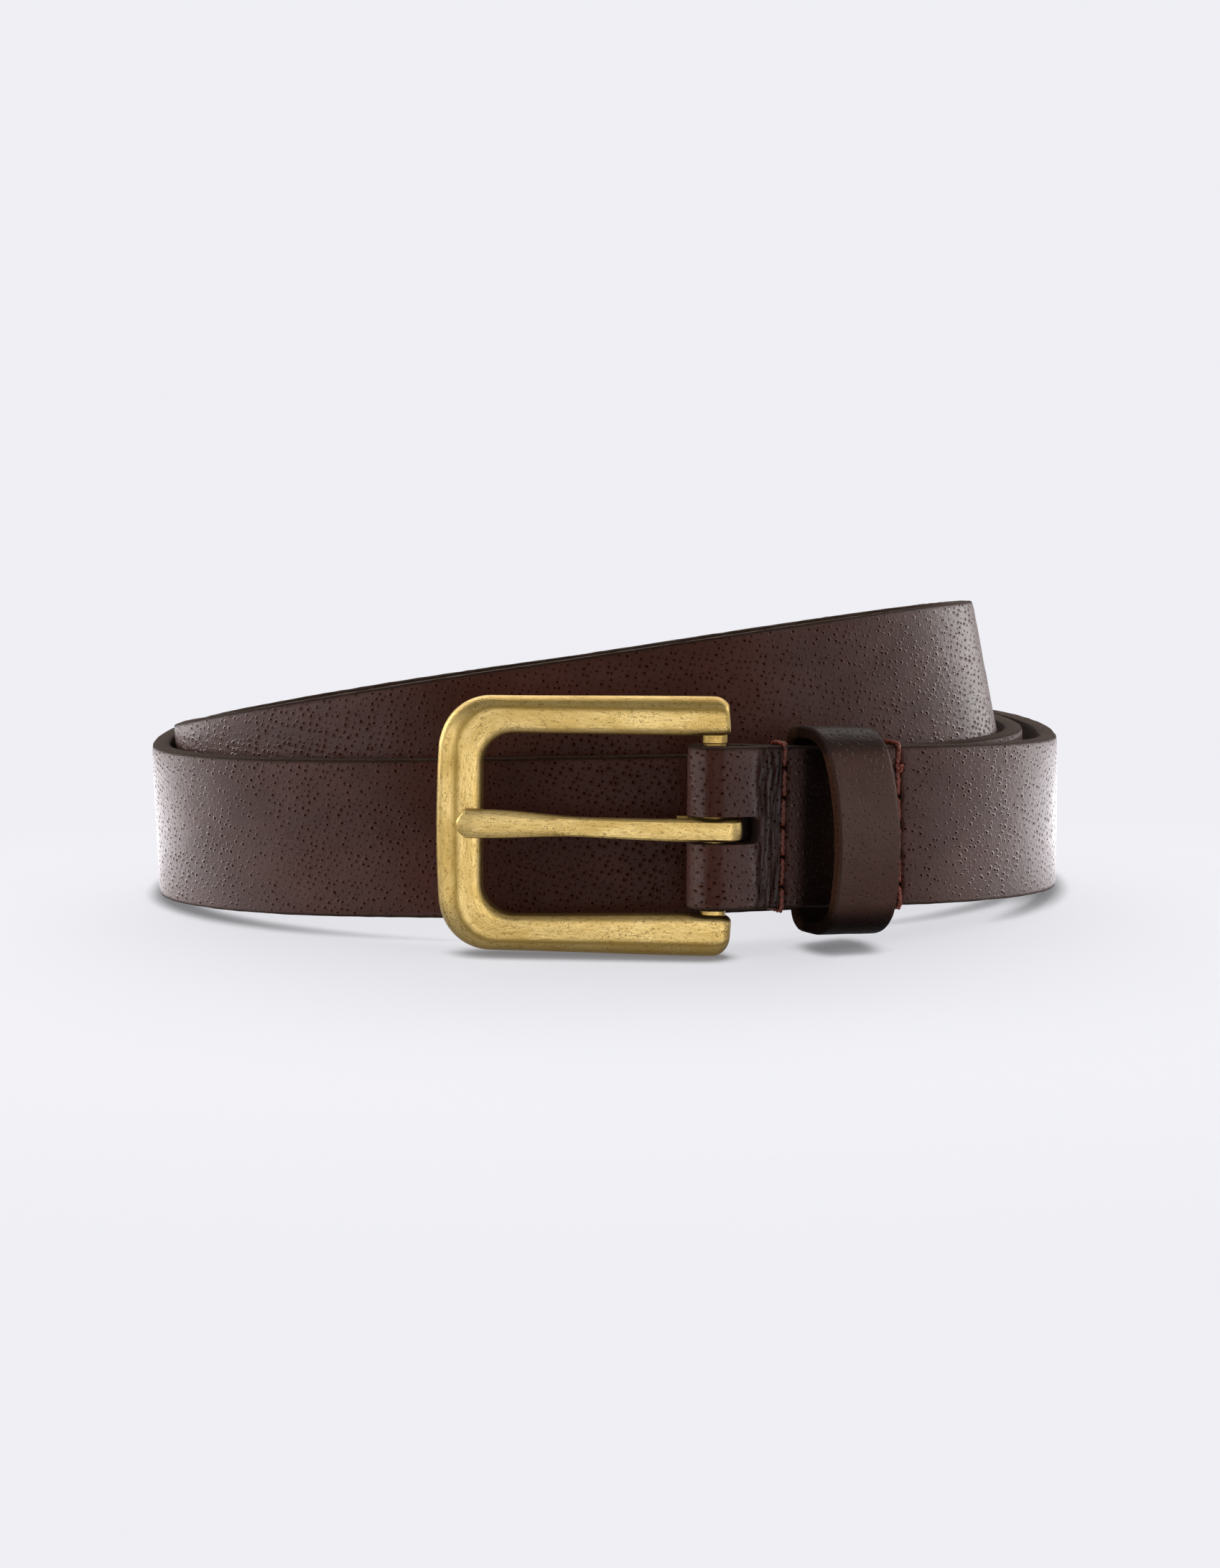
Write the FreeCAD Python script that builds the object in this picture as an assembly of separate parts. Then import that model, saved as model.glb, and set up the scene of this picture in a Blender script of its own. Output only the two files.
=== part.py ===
import FreeCAD, Part
import math
import os
from FreeCAD import Matrix, Vector

# A gentleman's leather belt, coiled up and standing on its lower edge.
# Millimetres, +Z up.  Everything is drawn about the middle of the coil, on the surface that it
# stands on, and moved at the end so that the origin is below the middle of the whole belt.
# The buckle is at the front (-Y), the strap runs to the right of it and winds up as seen from
# above anticlockwise: right, back, left, front, and so on for two and three quarter turns.

# ---------------------------------------------------------------- driving dimensions

strap_width = 30.0
strap_thickness = 3.6
turnback_thickness = 2.4        # the end that folds back round the bar is pared thinner
layer_gap = 0.15                # between strap and turnback where the seams clamp them
fit = 0.08                      # running clearance round the bar

bar_radius = 2.05
frame_length = 54.2             # along the belt
frame_height = 47.2             # across the belt
frame_thickness = 4.5
frame_front = 3.4               # the bar sits behind the front face by this much
rail_width = 8.6                # the closed end, where the prong rests
arm_width = 6.8
arm_overrun = 2.9               # the arms end this far past the middle of the bar
frame_swing_at_rest = 27.0      # degrees that the frame leans back from the plane of the strap
outer_corner = 9.5
inner_corner = 6.0
arm_corner = 2.8
front_rounding = 2.3
inner_rounding = 0.8

prong_reach = 47.0              # bar to prong tip
prong_thickness = 2.2
prong_heel = 5.2                # how far the curl reaches past the bar
curl_radius = 4.4
prong_root_width = 4.1
prong_waist_width = 3.6
prong_tip_width = 5.2
prong_drop = 0.4                # the prong has slid this far down the bar
prong_set = 0.6                 # and its tip has been pushed up by this much

slot_end = 7.0                  # prong slot: how far it runs into both layers past the bar
slot_width = 5.5
slot_corner = 1.2

fold_bulge = 1.3                # the strap swells over the bar by this much
inner_seam = 11.8               # distances along the strap, from the bar
outer_seam = 36.2
turnback_length = 40.0
seam_flat = 0.6                 # the layers lie flat this far on either side of a seam
pocket_ramp = 1.9
stitch_pitch = 5.5
stitch_holes = 5
stitch_slit = (1.1, 2.1)        # along the strap, across the strap
thread_radius = 0.42
stitch_bend = 0.52              # bend radius of a thread inside its slit

keeper_width = 12.6
keeper_thickness = 2.4
keeper_pocket = 3.2             # gap between the layers, where the keeper lies between them
keeper_start = 16.2             # near edge of the keeper, along the strap
keeper_skew = 7.0               # degrees that the front of the keeper is pushed along the strap
keeper_drop = 0.5               # and how far the keeper hangs below the middle of the strap
keeper_half_height = 18.1       # to the middle of its leather, like the radii
keeper_heel_radius = 3.0
keeper_wall_top = 3.0           # where its side walls start to curve over, outward of mid-strap
keeper_shoulder_radius = 7.8
keeper_shoulder_turn = 70.0
keeper_butt = 0.4               # gap between the two ends of its strip
staple_radius = 0.4
staple_span = 6.0

tip_length = 24.0
belt_end_turn = 922.0
punched_holes = 5
punched_pitch = 25.4
punched_radius = 2.4
middle_hole = 992.0             # from the bar: the size of the belt

# The coil: at each quarter turn the distance of the strap from the middle of the coil, the
# height of its lower edge, the height of the middle of the tilted plane that this part of the
# coil lies in, how far the strap leans (sideways and back, per unit of height), and how full
# the quarter turn after it is (2 is an ellipse, more is squarer).
coil_stations = (
    (-90, 54.5, 8.7, 2.8, -0.01, 0.13, 2.10),
    (0, 90.7, 0.3, 0.3, 0.00, 0.08, 2.20),
    (90, 52.0, 0.5, 0.5, 0.00, 0.02, 2.40),
    (180, 85.4, 0.3, 1.6, -0.02, 0.05, 1.95),
    (270, 43.8, 5.2, 3.4, -0.02, 0.11, 1.90),
    (360, 84.6, 1.9, 1.8, -0.02, 0.07, 2.15),
    (450, 45.4, 3.6, 6.0, -0.06, 0.06, 2.00),
    (540, 79.5, 3.6, 13.9, -0.09, 0.18, 1.85),
    (630, 37.4, 22.6, 15.2, -0.18, 0.17, 1.80),
    (720, 79.6, 27.1, 15.4, -0.19, 0.19, 2.00),
    (810, 38.9, 10.4, 14.0, -0.18, 0.15, 1.90),
    (900, 73.8, 4.7, 14.0, -0.18, 0.18, 2.00),
    (990, 32.3, 22.0, 14.5, -0.18, 0.18, 2.00),
)
bar_place = Vector(23.1, -56.1, 9.25)    # lower edge of the strap, abreast of the bar
bar_skew = -0.017                       # the bar pulls the fold this much out of square
lead_turn = -48.8                       # the doubled, stitched end is straight up to here
coil_step = 7.5                         # degrees between the places that the strap runs through


# ---------------------------------------------------------------- where the strap runs

def ease(t):
    return t * t * (3.0 - 2.0 * t)


def coil_place(turn):
    """Lower edge of the strap, in the middle of its thickness, and the way it leans."""
    quarter = min(int((turn + 90) // 90), len(coil_stations) - 2)
    start = coil_stations[quarter]
    stop = coil_stations[quarter + 1]
    share = (turn - start[0]) / 90.0
    power = 2.0 / start[6]
    near = math.cos(share * math.pi / 2) ** power
    far = math.sin(share * math.pi / 2) ** power
    a = math.radians(start[0])
    b = math.radians(stop[0])
    x = start[1] * near * math.cos(a) + stop[1] * far * math.cos(b)
    y = start[1] * near * math.sin(a) + stop[1] * far * math.sin(b)
    w = ease(share)
    middle = start[3] + (stop[3] - start[3]) * w
    z = middle + (start[2] - start[3]) * near + (stop[2] - stop[3]) * far
    lean_x = start[4] + (stop[4] - start[4]) * w
    lean_y = start[5] + (stop[5] - start[5]) * w
    return Vector(x, y, z), Vector(lean_x, lean_y, 1.0)


def belt_places():
    """The straight doubled end, then the coil."""
    bend, lean = coil_place(lead_turn)
    places = [(bar_place + (bend - bar_place) * (k / 5.0), lean) for k in range(5)]
    steps = int((belt_end_turn - lead_turn) / coil_step)
    return places + [coil_place(lead_turn + (belt_end_turn - lead_turn) * k / steps)
                     for k in range(steps + 1)]


def smooth_curve(points, parameters):
    curve = Part.BSplineCurve()
    curve.interpolate(Points=points, Parameters=parameters)
    return curve


def square_to(direction, tangent):
    across = direction - tangent * direction.dot(tangent)
    return across.normalize()


places = belt_places()
distances = [0.0]
for here, there in zip(places, places[1:]):
    distances.append(distances[-1] + (there[0] - here[0]).Length)
belt_length = distances[-1]
lower_edge = smooth_curve([place[0] for place in places], distances)


def crosswise(lean, s):
    """From the lower to the upper edge, square to the strap except near the bar."""
    tangent = lower_edge.tangent(s)[0]
    skew = bar_skew * (1.0 - ease(min(s / inner_seam, 1.0)))
    return (square_to(lean, tangent) + tangent * skew) * strap_width


upper_edge = smooth_curve([place[0] + crosswise(place[1], s)
                           for place, s in zip(places, distances)], distances)


def strap_axes(s):
    """Middle of the strap at a distance from the bar, then along, outward and across."""
    low = lower_edge.value(s)
    high = upper_edge.value(s)
    across = (high - low).normalize()
    along = square_to(lower_edge.tangent(s)[0], across)
    return (low + high) * 0.5, along, along.cross(across), across


def placed(shape, origin, x_axis, y_axis, z_axis):
    """The shape, moved from its own axes to these."""
    moved = shape.copy()
    moved.Placement = FreeCAD.Placement(Matrix(
        x_axis.x, y_axis.x, z_axis.x, origin.x,
        x_axis.y, y_axis.y, z_axis.y, origin.y,
        x_axis.z, y_axis.z, z_axis.z, origin.z,
        0, 0, 0, 1))
    return moved


def on_strap(shape, s=0.0):
    """Own axes: x along the strap from s, -y outward from mid-thickness, z across it."""
    origin, along, outward, across = strap_axes(s)
    return placed(shape, origin, along, outward * -1.0, across)


# ---------------------------------------------------------------- drawing helpers

def rounded_wire(corners, place, closed=True):
    """Straight sides through (a, b, radius) corners, each rounded; place puts them in space."""
    count = len(corners)
    starts = []
    arcs = []
    for k in range(count):
        a, b, radius = corners[k]
        corner = Vector(a, b, 0)
        if radius == 0 or (not closed and k in (0, count - 1)):
            starts.append((corner, corner))
            arcs.append(None)
            continue
        before = Vector(corners[k - 1][0], corners[k - 1][1], 0) - corner
        after = Vector(corners[(k + 1) % count][0], corners[(k + 1) % count][1], 0) - corner
        before.normalize()
        after.normalize()
        half = before.getAngle(after) / 2
        reach = radius / math.tan(half)
        inward = (before + after).normalize()
        crown = corner + inward * (radius / math.sin(half) - radius)
        starts.append((corner + before * reach, corner + after * reach))
        arcs.append(crown)
    edges = []
    for k in range(count):
        enter, leave = starts[k]
        if arcs[k] is not None:
            edges.append(Part.Arc(place(enter.x, enter.y), place(arcs[k].x, arcs[k].y),
                                  place(leave.x, leave.y)).toShape())
        if closed or k < count - 1:
            following = starts[(k + 1) % count][0]
            if (following - leave).Length > 1e-6:
                edges.append(Part.makeLine(place(leave.x, leave.y),
                                           place(following.x, following.y)))
    return Part.Wire(edges)


def plate(corners, place, thickness):
    """A plate with this rounded outline; thickness is a vector."""
    return Part.Face(rounded_wire(corners, place)).extrude(thickness)


def round_wire(path, radius):
    """Round wire or thread along a path."""
    start = path.Edges[0]
    tangent = start.tangentAt(start.FirstParameter)
    ring = Part.Wire(Part.makeCircle(radius, start.valueAt(start.FirstParameter), tangent))
    return path.makePipeShell([ring], True, True)


# ---------------------------------------------------------------- the doubled end

fold_front = bar_radius + fit + strap_thickness / 2        # bar to the middle of the strap
fold_back = bar_radius + fit + turnback_thickness / 2      # bar to the middle of the turnback
bar_depth = fold_front - fold_bulge                        # bar to the line of the strap
clamped_depth = strap_thickness / 2 + layer_gap + turnback_thickness / 2
back_face = clamped_depth + turnback_thickness / 2         # mid-strap to the back of a seam


def rise(s, start, stop):
    return ease(min(max((s - start) / (stop - start), 0.0), 1.0))


def bulge(s):
    """How far the strap stands out over the bar, dying away before the inner seam."""
    return fold_bulge * (1.0 - rise(s, 0.0, inner_seam - seam_flat))


def turnback_depth(s):
    """Mid-strap to mid-turnback: round the bar, clamped, open for the keeper, clamped."""
    closing = 1.0 - rise(s, 0.0, inner_seam - seam_flat)
    opening = (rise(s, inner_seam + seam_flat, inner_seam + seam_flat + pocket_ramp)
               - rise(s, outer_seam - seam_flat - pocket_ramp, outer_seam - seam_flat))
    return (clamped_depth + (bar_depth + fold_back - clamped_depth) * closing
            + (keeper_pocket - layer_gap) * opening)


def turnback_sections():
    steps = 48
    sections = []
    for k in range(steps, 0, -1):
        s = turnback_length * k / steps
        middle, along, outward, across = strap_axes(s)
        sections.append((middle - outward * turnback_depth(s), outward * -1.0, across,
                         turnback_thickness, strap_width / 2))
    return sections


def fold_sections():
    steps = 12
    middle, along, outward, across = strap_axes(0.0)
    bar = middle - outward * bar_depth
    sections = []
    for k in range(steps + 1):
        angle = math.pi * k / steps
        grain = outward * -math.cos(angle) - along * math.sin(angle)
        share = ease(k / steps)
        radius = fold_back + (fold_front - fold_back) * share
        thickness = turnback_thickness + (strap_thickness - turnback_thickness) * share
        sections.append((bar + grain * radius, grain, across, thickness, strap_width / 2))
    return sections


def front_sections():
    fine_step = 1.2
    coarse_step = 5.0
    sections = []
    s = fine_step
    while s < belt_length:
        middle, along, outward, across = strap_axes(s)
        to_tip = belt_length - s
        half = strap_width / 2
        if to_tip < tip_length:
            half = half * math.sqrt(1.0 - (1.0 - to_tip / tip_length) ** 2.4)
        sections.append((middle + outward * bulge(s), outward, across, strap_thickness, half))
        near_end = s < inner_seam or to_tip < tip_length + coarse_step
        s = s + (fine_step if near_end else coarse_step)
    return sections


def stretch(curve, start, stop):
    piece = curve.copy()
    piece.segment(start, stop)
    return piece.toShape()


def ruled_strip(sections):
    """A solid strip through all the sections, between four long smooth corner curves."""
    sections_per_face = 20
    run = [0.0]
    for here, there in zip(sections, sections[1:]):
        run.append(run[-1] + (there[0] - here[0]).Length)
    curves = []
    for grain_side, high_side in ((1, 1), (1, -1), (-1, -1), (-1, 1)):
        points = [middle + grain * (grain_side * thickness / 2) + across * (high_side * half)
                  for middle, grain, across, thickness, half in sections]
        curves.append(smooth_curve(points, run))
    faces = []
    breaks = run[::sections_per_face] + [run[-1]]
    for start, stop in zip(breaks, breaks[1:]):
        edges = [stretch(curve, start, stop) for curve in curves]
        faces += [Part.makeRuledSurface(edges[k], edges[(k + 1) % 4], 1) for k in range(4)]
    for parameter in (run[0], run[-1]):
        ends = [curve.value(parameter) for curve in curves]
        faces.append(Part.Face(Part.makePolygon(ends + [ends[0]])))
    shell = Part.makeShell(faces)
    shell.sewShape()
    return Part.makeSolid(shell)


def seam_heights():
    return [stitch_pitch * (k - (stitch_holes - 1) / 2) for k in range(stitch_holes)]


def prong_slot():
    """Open at the fold, rounded at its far end, through both layers."""
    corners = ((-12.0, -slot_width / 2, 0), (slot_end, -slot_width / 2, slot_corner),
               (slot_end, slot_width / 2, slot_corner), (-12.0, slot_width / 2, 0))
    return plate(corners, lambda a, b: Vector(a, -10.0, b), Vector(0, 24.0, 0))


def stitch_slits():
    along, across = stitch_slit
    slits = []
    for seam in (inner_seam, outer_seam):
        for height in seam_heights():
            slit = Part.makeBox(along, 12.0, across,
                                Vector(-along / 2, -5.0, height - across / 2))
            slits.append(on_strap(slit, seam))
    return slits


def size_holes():
    holes = []
    for k in range(punched_holes):
        s = middle_hole + punched_pitch * (k - (punched_holes - 1) / 2)
        punch = Part.makeCylinder(punched_radius, 8.0, Vector(0, -4.0, 0), Vector(0, 1, 0))
        holes.append(on_strap(punch, s))
    return holes


def make_strap():
    strip = ruled_strip(turnback_sections() + fold_sections() + front_sections())
    return strip.cut([on_strap(prong_slot())] + stitch_slits() + size_holes())


# ---------------------------------------------------------------- buckle

def on_buckle(shape):
    """Own axes: the bar stands on z, the closed end is at -x, the front faces -y."""
    origin, along, outward, across = strap_axes(0.0)
    bar = origin - outward * bar_depth
    lean = math.radians(frame_swing_at_rest)
    x_axis = along * math.cos(lean) + outward * math.sin(lean)
    y_axis = along * math.sin(lean) - outward * math.cos(lean)
    return placed(shape, bar, x_axis, y_axis, across)


def edges_where(shape, test):
    return [edge for edge in shape.Edges if test(edge.BoundBox)]


def make_buckle_frame():
    """One brass casting: a rounded C of flat bar, closed by the round bar."""
    closed_end = arm_overrun - frame_length
    half = frame_height / 2
    opening = half - arm_width
    front = -frame_front
    through = Vector(0, frame_thickness, 0)
    outer = plate(((closed_end, -half, outer_corner), (arm_overrun, -half, arm_corner),
                   (arm_overrun, half, arm_corner), (closed_end, half, outer_corner)),
                  lambda a, b: Vector(a, front, b), through)
    inside = closed_end + rail_width
    window = plate(((inside, -opening, inner_corner), (20.0, -opening, 0),
                    (20.0, opening, 0), (inside, opening, inner_corner)),
                   lambda a, b: Vector(a, front, b), through)
    frame = outer.cut(window)

    def on_outside(box):
        return (abs(box.ZMin) > opening + 1 or box.XMax < inside - 1 or box.XMin > 0.1
                or abs(box.ZMax) > opening + 1)

    def in_front(box):
        return box.YMax < front + 0.01

    frame = frame.makeFillet(front_rounding, edges_where(
        frame, lambda box: in_front(box) and on_outside(box)))
    frame = frame.makeFillet(inner_rounding, edges_where(
        frame, lambda box: in_front(box)))
    bar = Part.makeCylinder(bar_radius, 2 * opening + 5.0, Vector(0, 0, -opening - 2.5),
                            Vector(0, 0, 1))
    return frame.fuse(bar).removeSplitter()


def make_prong():
    """Flat brass, curled round the bar at one end, its flared tip on the closed end."""
    hole = bar_radius + fit
    rest = -frame_front - 0.05
    face = rest - prong_thickness

    def circle_point(angle, radius):
        return Vector(radius * math.cos(math.radians(angle)),
                      radius * math.sin(math.radians(angle)), 0)

    underside = [Vector(-prong_reach, rest - 0.5, 0), Vector(1.0 - prong_reach, rest, 0),
                 Vector(-7.0, rest + 0.3, 0), circle_point(233, hole)]
    tail_inside = [circle_point(150, hole), Vector(-6.9, 0.9, 0), Vector(-7.4, 1.5, 0),
                   Vector(-7.2, 2.9, 0), circle_point(135, curl_radius)]
    top = [Vector(prong_heel, 0.6, 0), Vector(prong_heel, -2.6, 0),
           Vector(prong_heel - 0.8, face + 0.8, 0), Vector(prong_heel - 2.6, face + 0.3, 0),
           Vector(3.0 - prong_reach, face, 0), Vector(-prong_reach, face + 1.2, 0)]
    edges = Part.makePolygon(underside).Edges
    edges.append(Part.Arc(circle_point(233, hole), circle_point(10, hole),
                          circle_point(150, hole)).toShape())
    edges += Part.makePolygon(tail_inside).Edges
    edges.append(Part.Arc(circle_point(135, curl_radius), circle_point(70, curl_radius),
                          top[0]).toShape())
    edges += Part.makePolygon(top + [underside[0]]).Edges
    side = Part.Face(Part.Wire(edges)).extrude(Vector(0, 0, 20.0))
    side.translate(Vector(0, 0, -10.0))
    root = prong_root_width / 2
    waist = prong_waist_width / 2
    tip = prong_tip_width / 2
    low = [(8.0, -root, 0), (-6.0, -root, 30), (-24.0, prong_set / 2 - waist, 60),
           (4.5 - prong_reach, prong_set - tip, 3.0), (-prong_reach - 0.4, prong_set - 1.2, 0)]
    high = [(-prong_reach - 0.4, prong_set + 1.2, 0), (4.5 - prong_reach, prong_set + tip, 3.0),
            (-24.0, prong_set / 2 + waist, 60), (-6.0, root, 30), (8.0, root, 0)]
    outline = plate(low + high, lambda a, b: Vector(a, -12.0, b), Vector(0, 24.0, 0))
    prong = side.common(outline)
    prong.translate(Vector(0, 0, -prong_drop))
    return prong


# ---------------------------------------------------------------- keeper and its staple

def keeper_loop(offset):
    """Closed section of the keeper, this far outside the middle of its leather."""
    base = -(strap_thickness + keeper_pocket) / 2 - offset
    wall = keeper_half_height + offset
    heel = keeper_heel_radius + offset
    shoulder = keeper_shoulder_radius + offset
    turn = math.radians(keeper_shoulder_turn)
    heel_centre = (wall - heel, base + heel)
    shoulder_centre = (wall - shoulder, keeper_wall_top)

    def on_arc(centre, radius, angle):
        return centre[0] + radius * math.cos(angle), centre[1] + radius * math.sin(angle)

    heel_middle = on_arc(heel_centre, heel, -math.pi / 4)
    shoulder_middle = on_arc(shoulder_centre, shoulder, turn / 2)
    shoulder_end = on_arc(shoulder_centre, shoulder, turn)
    face_radius = shoulder_end[0] / math.cos(turn)
    crown = shoulder_end[1] + face_radius * (1 - math.sin(turn))

    skew = math.radians(keeper_skew)

    def spot(side, point):
        return Vector(point[1] * math.sin(skew), -point[1] * math.cos(skew), side * point[0])

    edges = []
    for side in (1, -1):
        edges.append(Part.makeLine(spot(side, (0, base)), spot(side, (heel_centre[0], base))))
        edges.append(Part.Arc(spot(side, (heel_centre[0], base)), spot(side, heel_middle),
                              spot(side, (wall, heel_centre[1]))).toShape())
        edges.append(Part.makeLine(spot(side, (wall, heel_centre[1])),
                                   spot(side, (wall, keeper_wall_top))))
        edges.append(Part.Arc(spot(side, (wall, keeper_wall_top)), spot(side, shoulder_middle),
                              spot(side, shoulder_end)).toShape())
    edges.append(Part.Arc(spot(1, shoulder_end), spot(1, (0, crown)),
                          spot(-1, shoulder_end)).toShape())
    return Part.Wire(Part.sortEdges(edges)[0])


def staple_path():
    """Crown on the back of the keeper, legs through it, clinched towards each other."""
    middle = (strap_thickness + keeper_pocket) / 2
    sunk = keeper_thickness / 2 - staple_radius - 0.02
    half = staple_span / 2
    corners = ((-0.9, middle - sunk, 0), (-half, middle - sunk, 0.5),
               (-half, middle + sunk, 0.5), (half, middle + sunk, 0.5),
               (half, middle - sunk, 0.5), (0.9, middle - sunk, 0))
    return rounded_wire(corners, lambda a, b: Vector(0, b, a), closed=False)


def make_keeper():
    width = Vector(keeper_width, 0, 0)
    outside = Part.Face(keeper_loop(keeper_thickness / 2)).extrude(width)
    inside = Part.Face(keeper_loop(-keeper_thickness / 2)).extrude(width)
    keeper = outside.cut(inside)
    keeper.translate(width * -0.5)
    butt = Part.makeBox(keeper_width + 2, keeper_thickness + 2, keeper_butt,
                        Vector(-keeper_width / 2 - 1, 1.0 + strap_thickness / 2,
                               -keeper_butt / 2))
    keeper = keeper.cut([butt, round_wire(staple_path(), staple_radius + 0.03)])
    staple = round_wire(staple_path(), staple_radius)
    for piece in (keeper, staple):
        piece.translate(Vector(0, 0, -keeper_drop))
    return keeper, staple


# ---------------------------------------------------------------- seams

def thread_path(surface, depth, ends):
    """Along one face in the plane x = 0, dipping into each slit; ends are extra corners."""
    corners = list(ends[0])
    for height in seam_heights():
        corners += [(height - stitch_bend, surface, stitch_bend),
                    (height - stitch_bend, depth, stitch_bend * 0.999),
                    (height + stitch_bend, depth, stitch_bend * 0.999),
                    (height + stitch_bend, surface, stitch_bend)]
    corners += list(ends[1])
    return rounded_wire(corners, lambda a, b: Vector(0, b, a), closed=False)


thread_lift = thread_radius + 0.14
knot_depth = back_face / 2 - strap_thickness / 4        # half way through the two layers
thread_front = -strap_thickness / 2 - thread_lift
thread_back = back_face + thread_lift


def make_needle_thread():
    """Along the front face, over both edges of the strap and a little way down the back."""
    edge = strap_width / 2 + thread_lift
    tail = strap_width / 2 - 1.6
    bend = 0.75
    low = ((-tail, thread_back, 0), (-edge, thread_back, bend), (-edge, thread_front, bend))
    high = ((edge, thread_front, bend), (edge, thread_back, bend), (tail, thread_back, 0))
    return round_wire(thread_path(thread_front, knot_depth - thread_lift, (low, high)),
                      thread_radius)


def make_bobbin_thread():
    """Along the back face, meeting the needle thread half way through."""
    tail = seam_heights()[-1] + stitch_slit[1] / 2 + 0.2
    ends = (((-tail, thread_back, 0),), ((tail, thread_back, 0),))
    return round_wire(thread_path(thread_back, knot_depth + thread_lift, ends), thread_radius)


# ---------------------------------------------------------------- the whole belt

keeper_middle = keeper_start + keeper_width / 2
keeper, staple = make_keeper()
pieces = {
    "strap": make_strap(),
    "buckle_frame": on_buckle(make_buckle_frame()),
    "prong": on_buckle(make_prong()),
    "keeper_loop": on_strap(keeper, keeper_middle),
    "keeper_staple": on_strap(staple, keeper_middle),
    "inner_seam_needle_thread": on_strap(make_needle_thread(), inner_seam),
    "inner_seam_bobbin_thread": on_strap(make_bobbin_thread(), inner_seam),
    "outer_seam_needle_thread": on_strap(make_needle_thread(), outer_seam),
    "outer_seam_bobbin_thread": on_strap(make_bobbin_thread(), outer_seam),
}

whole_middle = Vector(2.35, -3.25, 0.0)
os.makedirs("parts", exist_ok=True)
for name, shape in pieces.items():
    shape.translate(whole_middle * -1.0)
    shape.exportStep("parts/" + name + ".step")
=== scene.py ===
import bpy
import math
import numpy as np
from mathutils import Matrix, Vector


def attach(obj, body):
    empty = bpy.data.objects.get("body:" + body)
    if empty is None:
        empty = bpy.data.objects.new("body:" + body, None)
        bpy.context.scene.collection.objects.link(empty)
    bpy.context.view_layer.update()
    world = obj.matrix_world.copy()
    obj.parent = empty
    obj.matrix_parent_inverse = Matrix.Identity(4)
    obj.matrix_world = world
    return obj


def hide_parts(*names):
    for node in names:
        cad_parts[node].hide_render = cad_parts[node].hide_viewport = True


# A coiled gentleman's belt: brown leather strap with stitched fold and keeper, aged brass buckle.
# Lengths below are millimetres, in the frame of the CAD model, unless a name says otherwise.
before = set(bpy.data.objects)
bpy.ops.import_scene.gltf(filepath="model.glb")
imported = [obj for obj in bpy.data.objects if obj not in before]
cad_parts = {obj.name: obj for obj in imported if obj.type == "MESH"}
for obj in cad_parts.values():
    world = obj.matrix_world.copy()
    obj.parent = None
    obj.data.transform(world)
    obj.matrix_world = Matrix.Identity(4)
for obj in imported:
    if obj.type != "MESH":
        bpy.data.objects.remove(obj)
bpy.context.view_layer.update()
MM = 0.001

# ---------------- where the strap runs
# The same path as the CAD strap: quarter-turn stations of the coil, about the coil's own middle.

COIL_MIDDLE = np.array([-2.35, 3.25, 0.0])
STRAP_WIDTH = 30.0
STRAP_THICKNESS = 3.6
TURNBACK_THICKNESS = 2.4
BAR_RADIUS = 2.05
FIT = 0.08
LAYER_GAP = 0.15
FOLD_BULGE = 1.3
INNER_SEAM = 11.8
OUTER_SEAM = 36.2
TURNBACK_LENGTH = 40.0
SEAM_FLAT = 0.6
POCKET_RAMP = 1.9
KEEPER_POCKET = 3.2
STITCH_PITCH = 5.5
SLOT_END = 6.8
SLOT_HALF = 2.55
SLOT_CORNER = 1.2
SLOT_DROP = 0.35
TIP_LENGTH = 24.0
BAR_SKEW = -0.017
MIDDLE_HOLE = 992.0
HOLE_PITCH = 25.4
HOLE_RADIUS = 2.4
HOLES = [MIDDLE_HOLE + HOLE_PITCH * k for k in range(-2, 3)]
HOLES_START = MIDDLE_HOLE - 60.0
SEAMS = (INNER_SEAM, OUTER_SEAM)
STITCHES = [STITCH_PITCH * k for k in range(-2, 3)]  # their heights on the strap
SLIT_HALF_WIDTH = 0.5
SLIT_HALF_HEIGHT = 1.0
CRUSH_START = 5.6               # the crushed grain between the bar and the inner seam
CRUSH_END = 10.9
SHADE_START = 13.6              # where the keeper hides the strap from light
SHADE_END = 29.0
OUTER_SEAM_SHIFT = 0.8          # how much nearer the buckle the outer seam was sewn
OUTER_SEAM_SLANT = 0.045        # and its slope, per millimetre of height

# turn, reach, height, height of the tilted plane's middle, lean sideways, lean back, fullness
STATIONS = np.array([
    (-90, 54.5, 8.7, 2.8, -0.01, 0.13, 2.10),
    (0, 90.7, 0.3, 0.3, 0.00, 0.08, 2.20),
    (90, 52.0, 0.5, 0.5, 0.00, 0.02, 2.40),
    (180, 85.4, 0.3, 1.6, -0.02, 0.05, 1.95),
    (270, 43.8, 5.2, 3.4, -0.02, 0.11, 1.90),
    (360, 84.6, 1.9, 1.8, -0.02, 0.07, 2.15),
    (450, 45.4, 3.6, 6.0, -0.06, 0.06, 2.00),
    (540, 79.5, 3.6, 13.9, -0.09, 0.18, 1.85),
    (630, 37.4, 22.6, 15.2, -0.18, 0.17, 1.80),
    (720, 79.6, 27.1, 15.4, -0.19, 0.19, 2.00),
    (810, 38.9, 10.4, 14.0, -0.18, 0.15, 1.90),
    (900, 73.8, 4.7, 14.0, -0.18, 0.18, 2.00),
    (990, 32.3, 22.0, 14.5, -0.18, 0.18, 2.00)])
BAR_PLACE = np.array([23.1, -56.1, 9.25])
LEAD_TURN = -48.8
BELT_END_TURN = 922.0


def ease(t):
    t = np.clip(t, 0.0, 1.0)
    return t * t * (3.0 - 2.0 * t)


def unit(v):
    return v / np.linalg.norm(v, axis=-1, keepdims=True)


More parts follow.
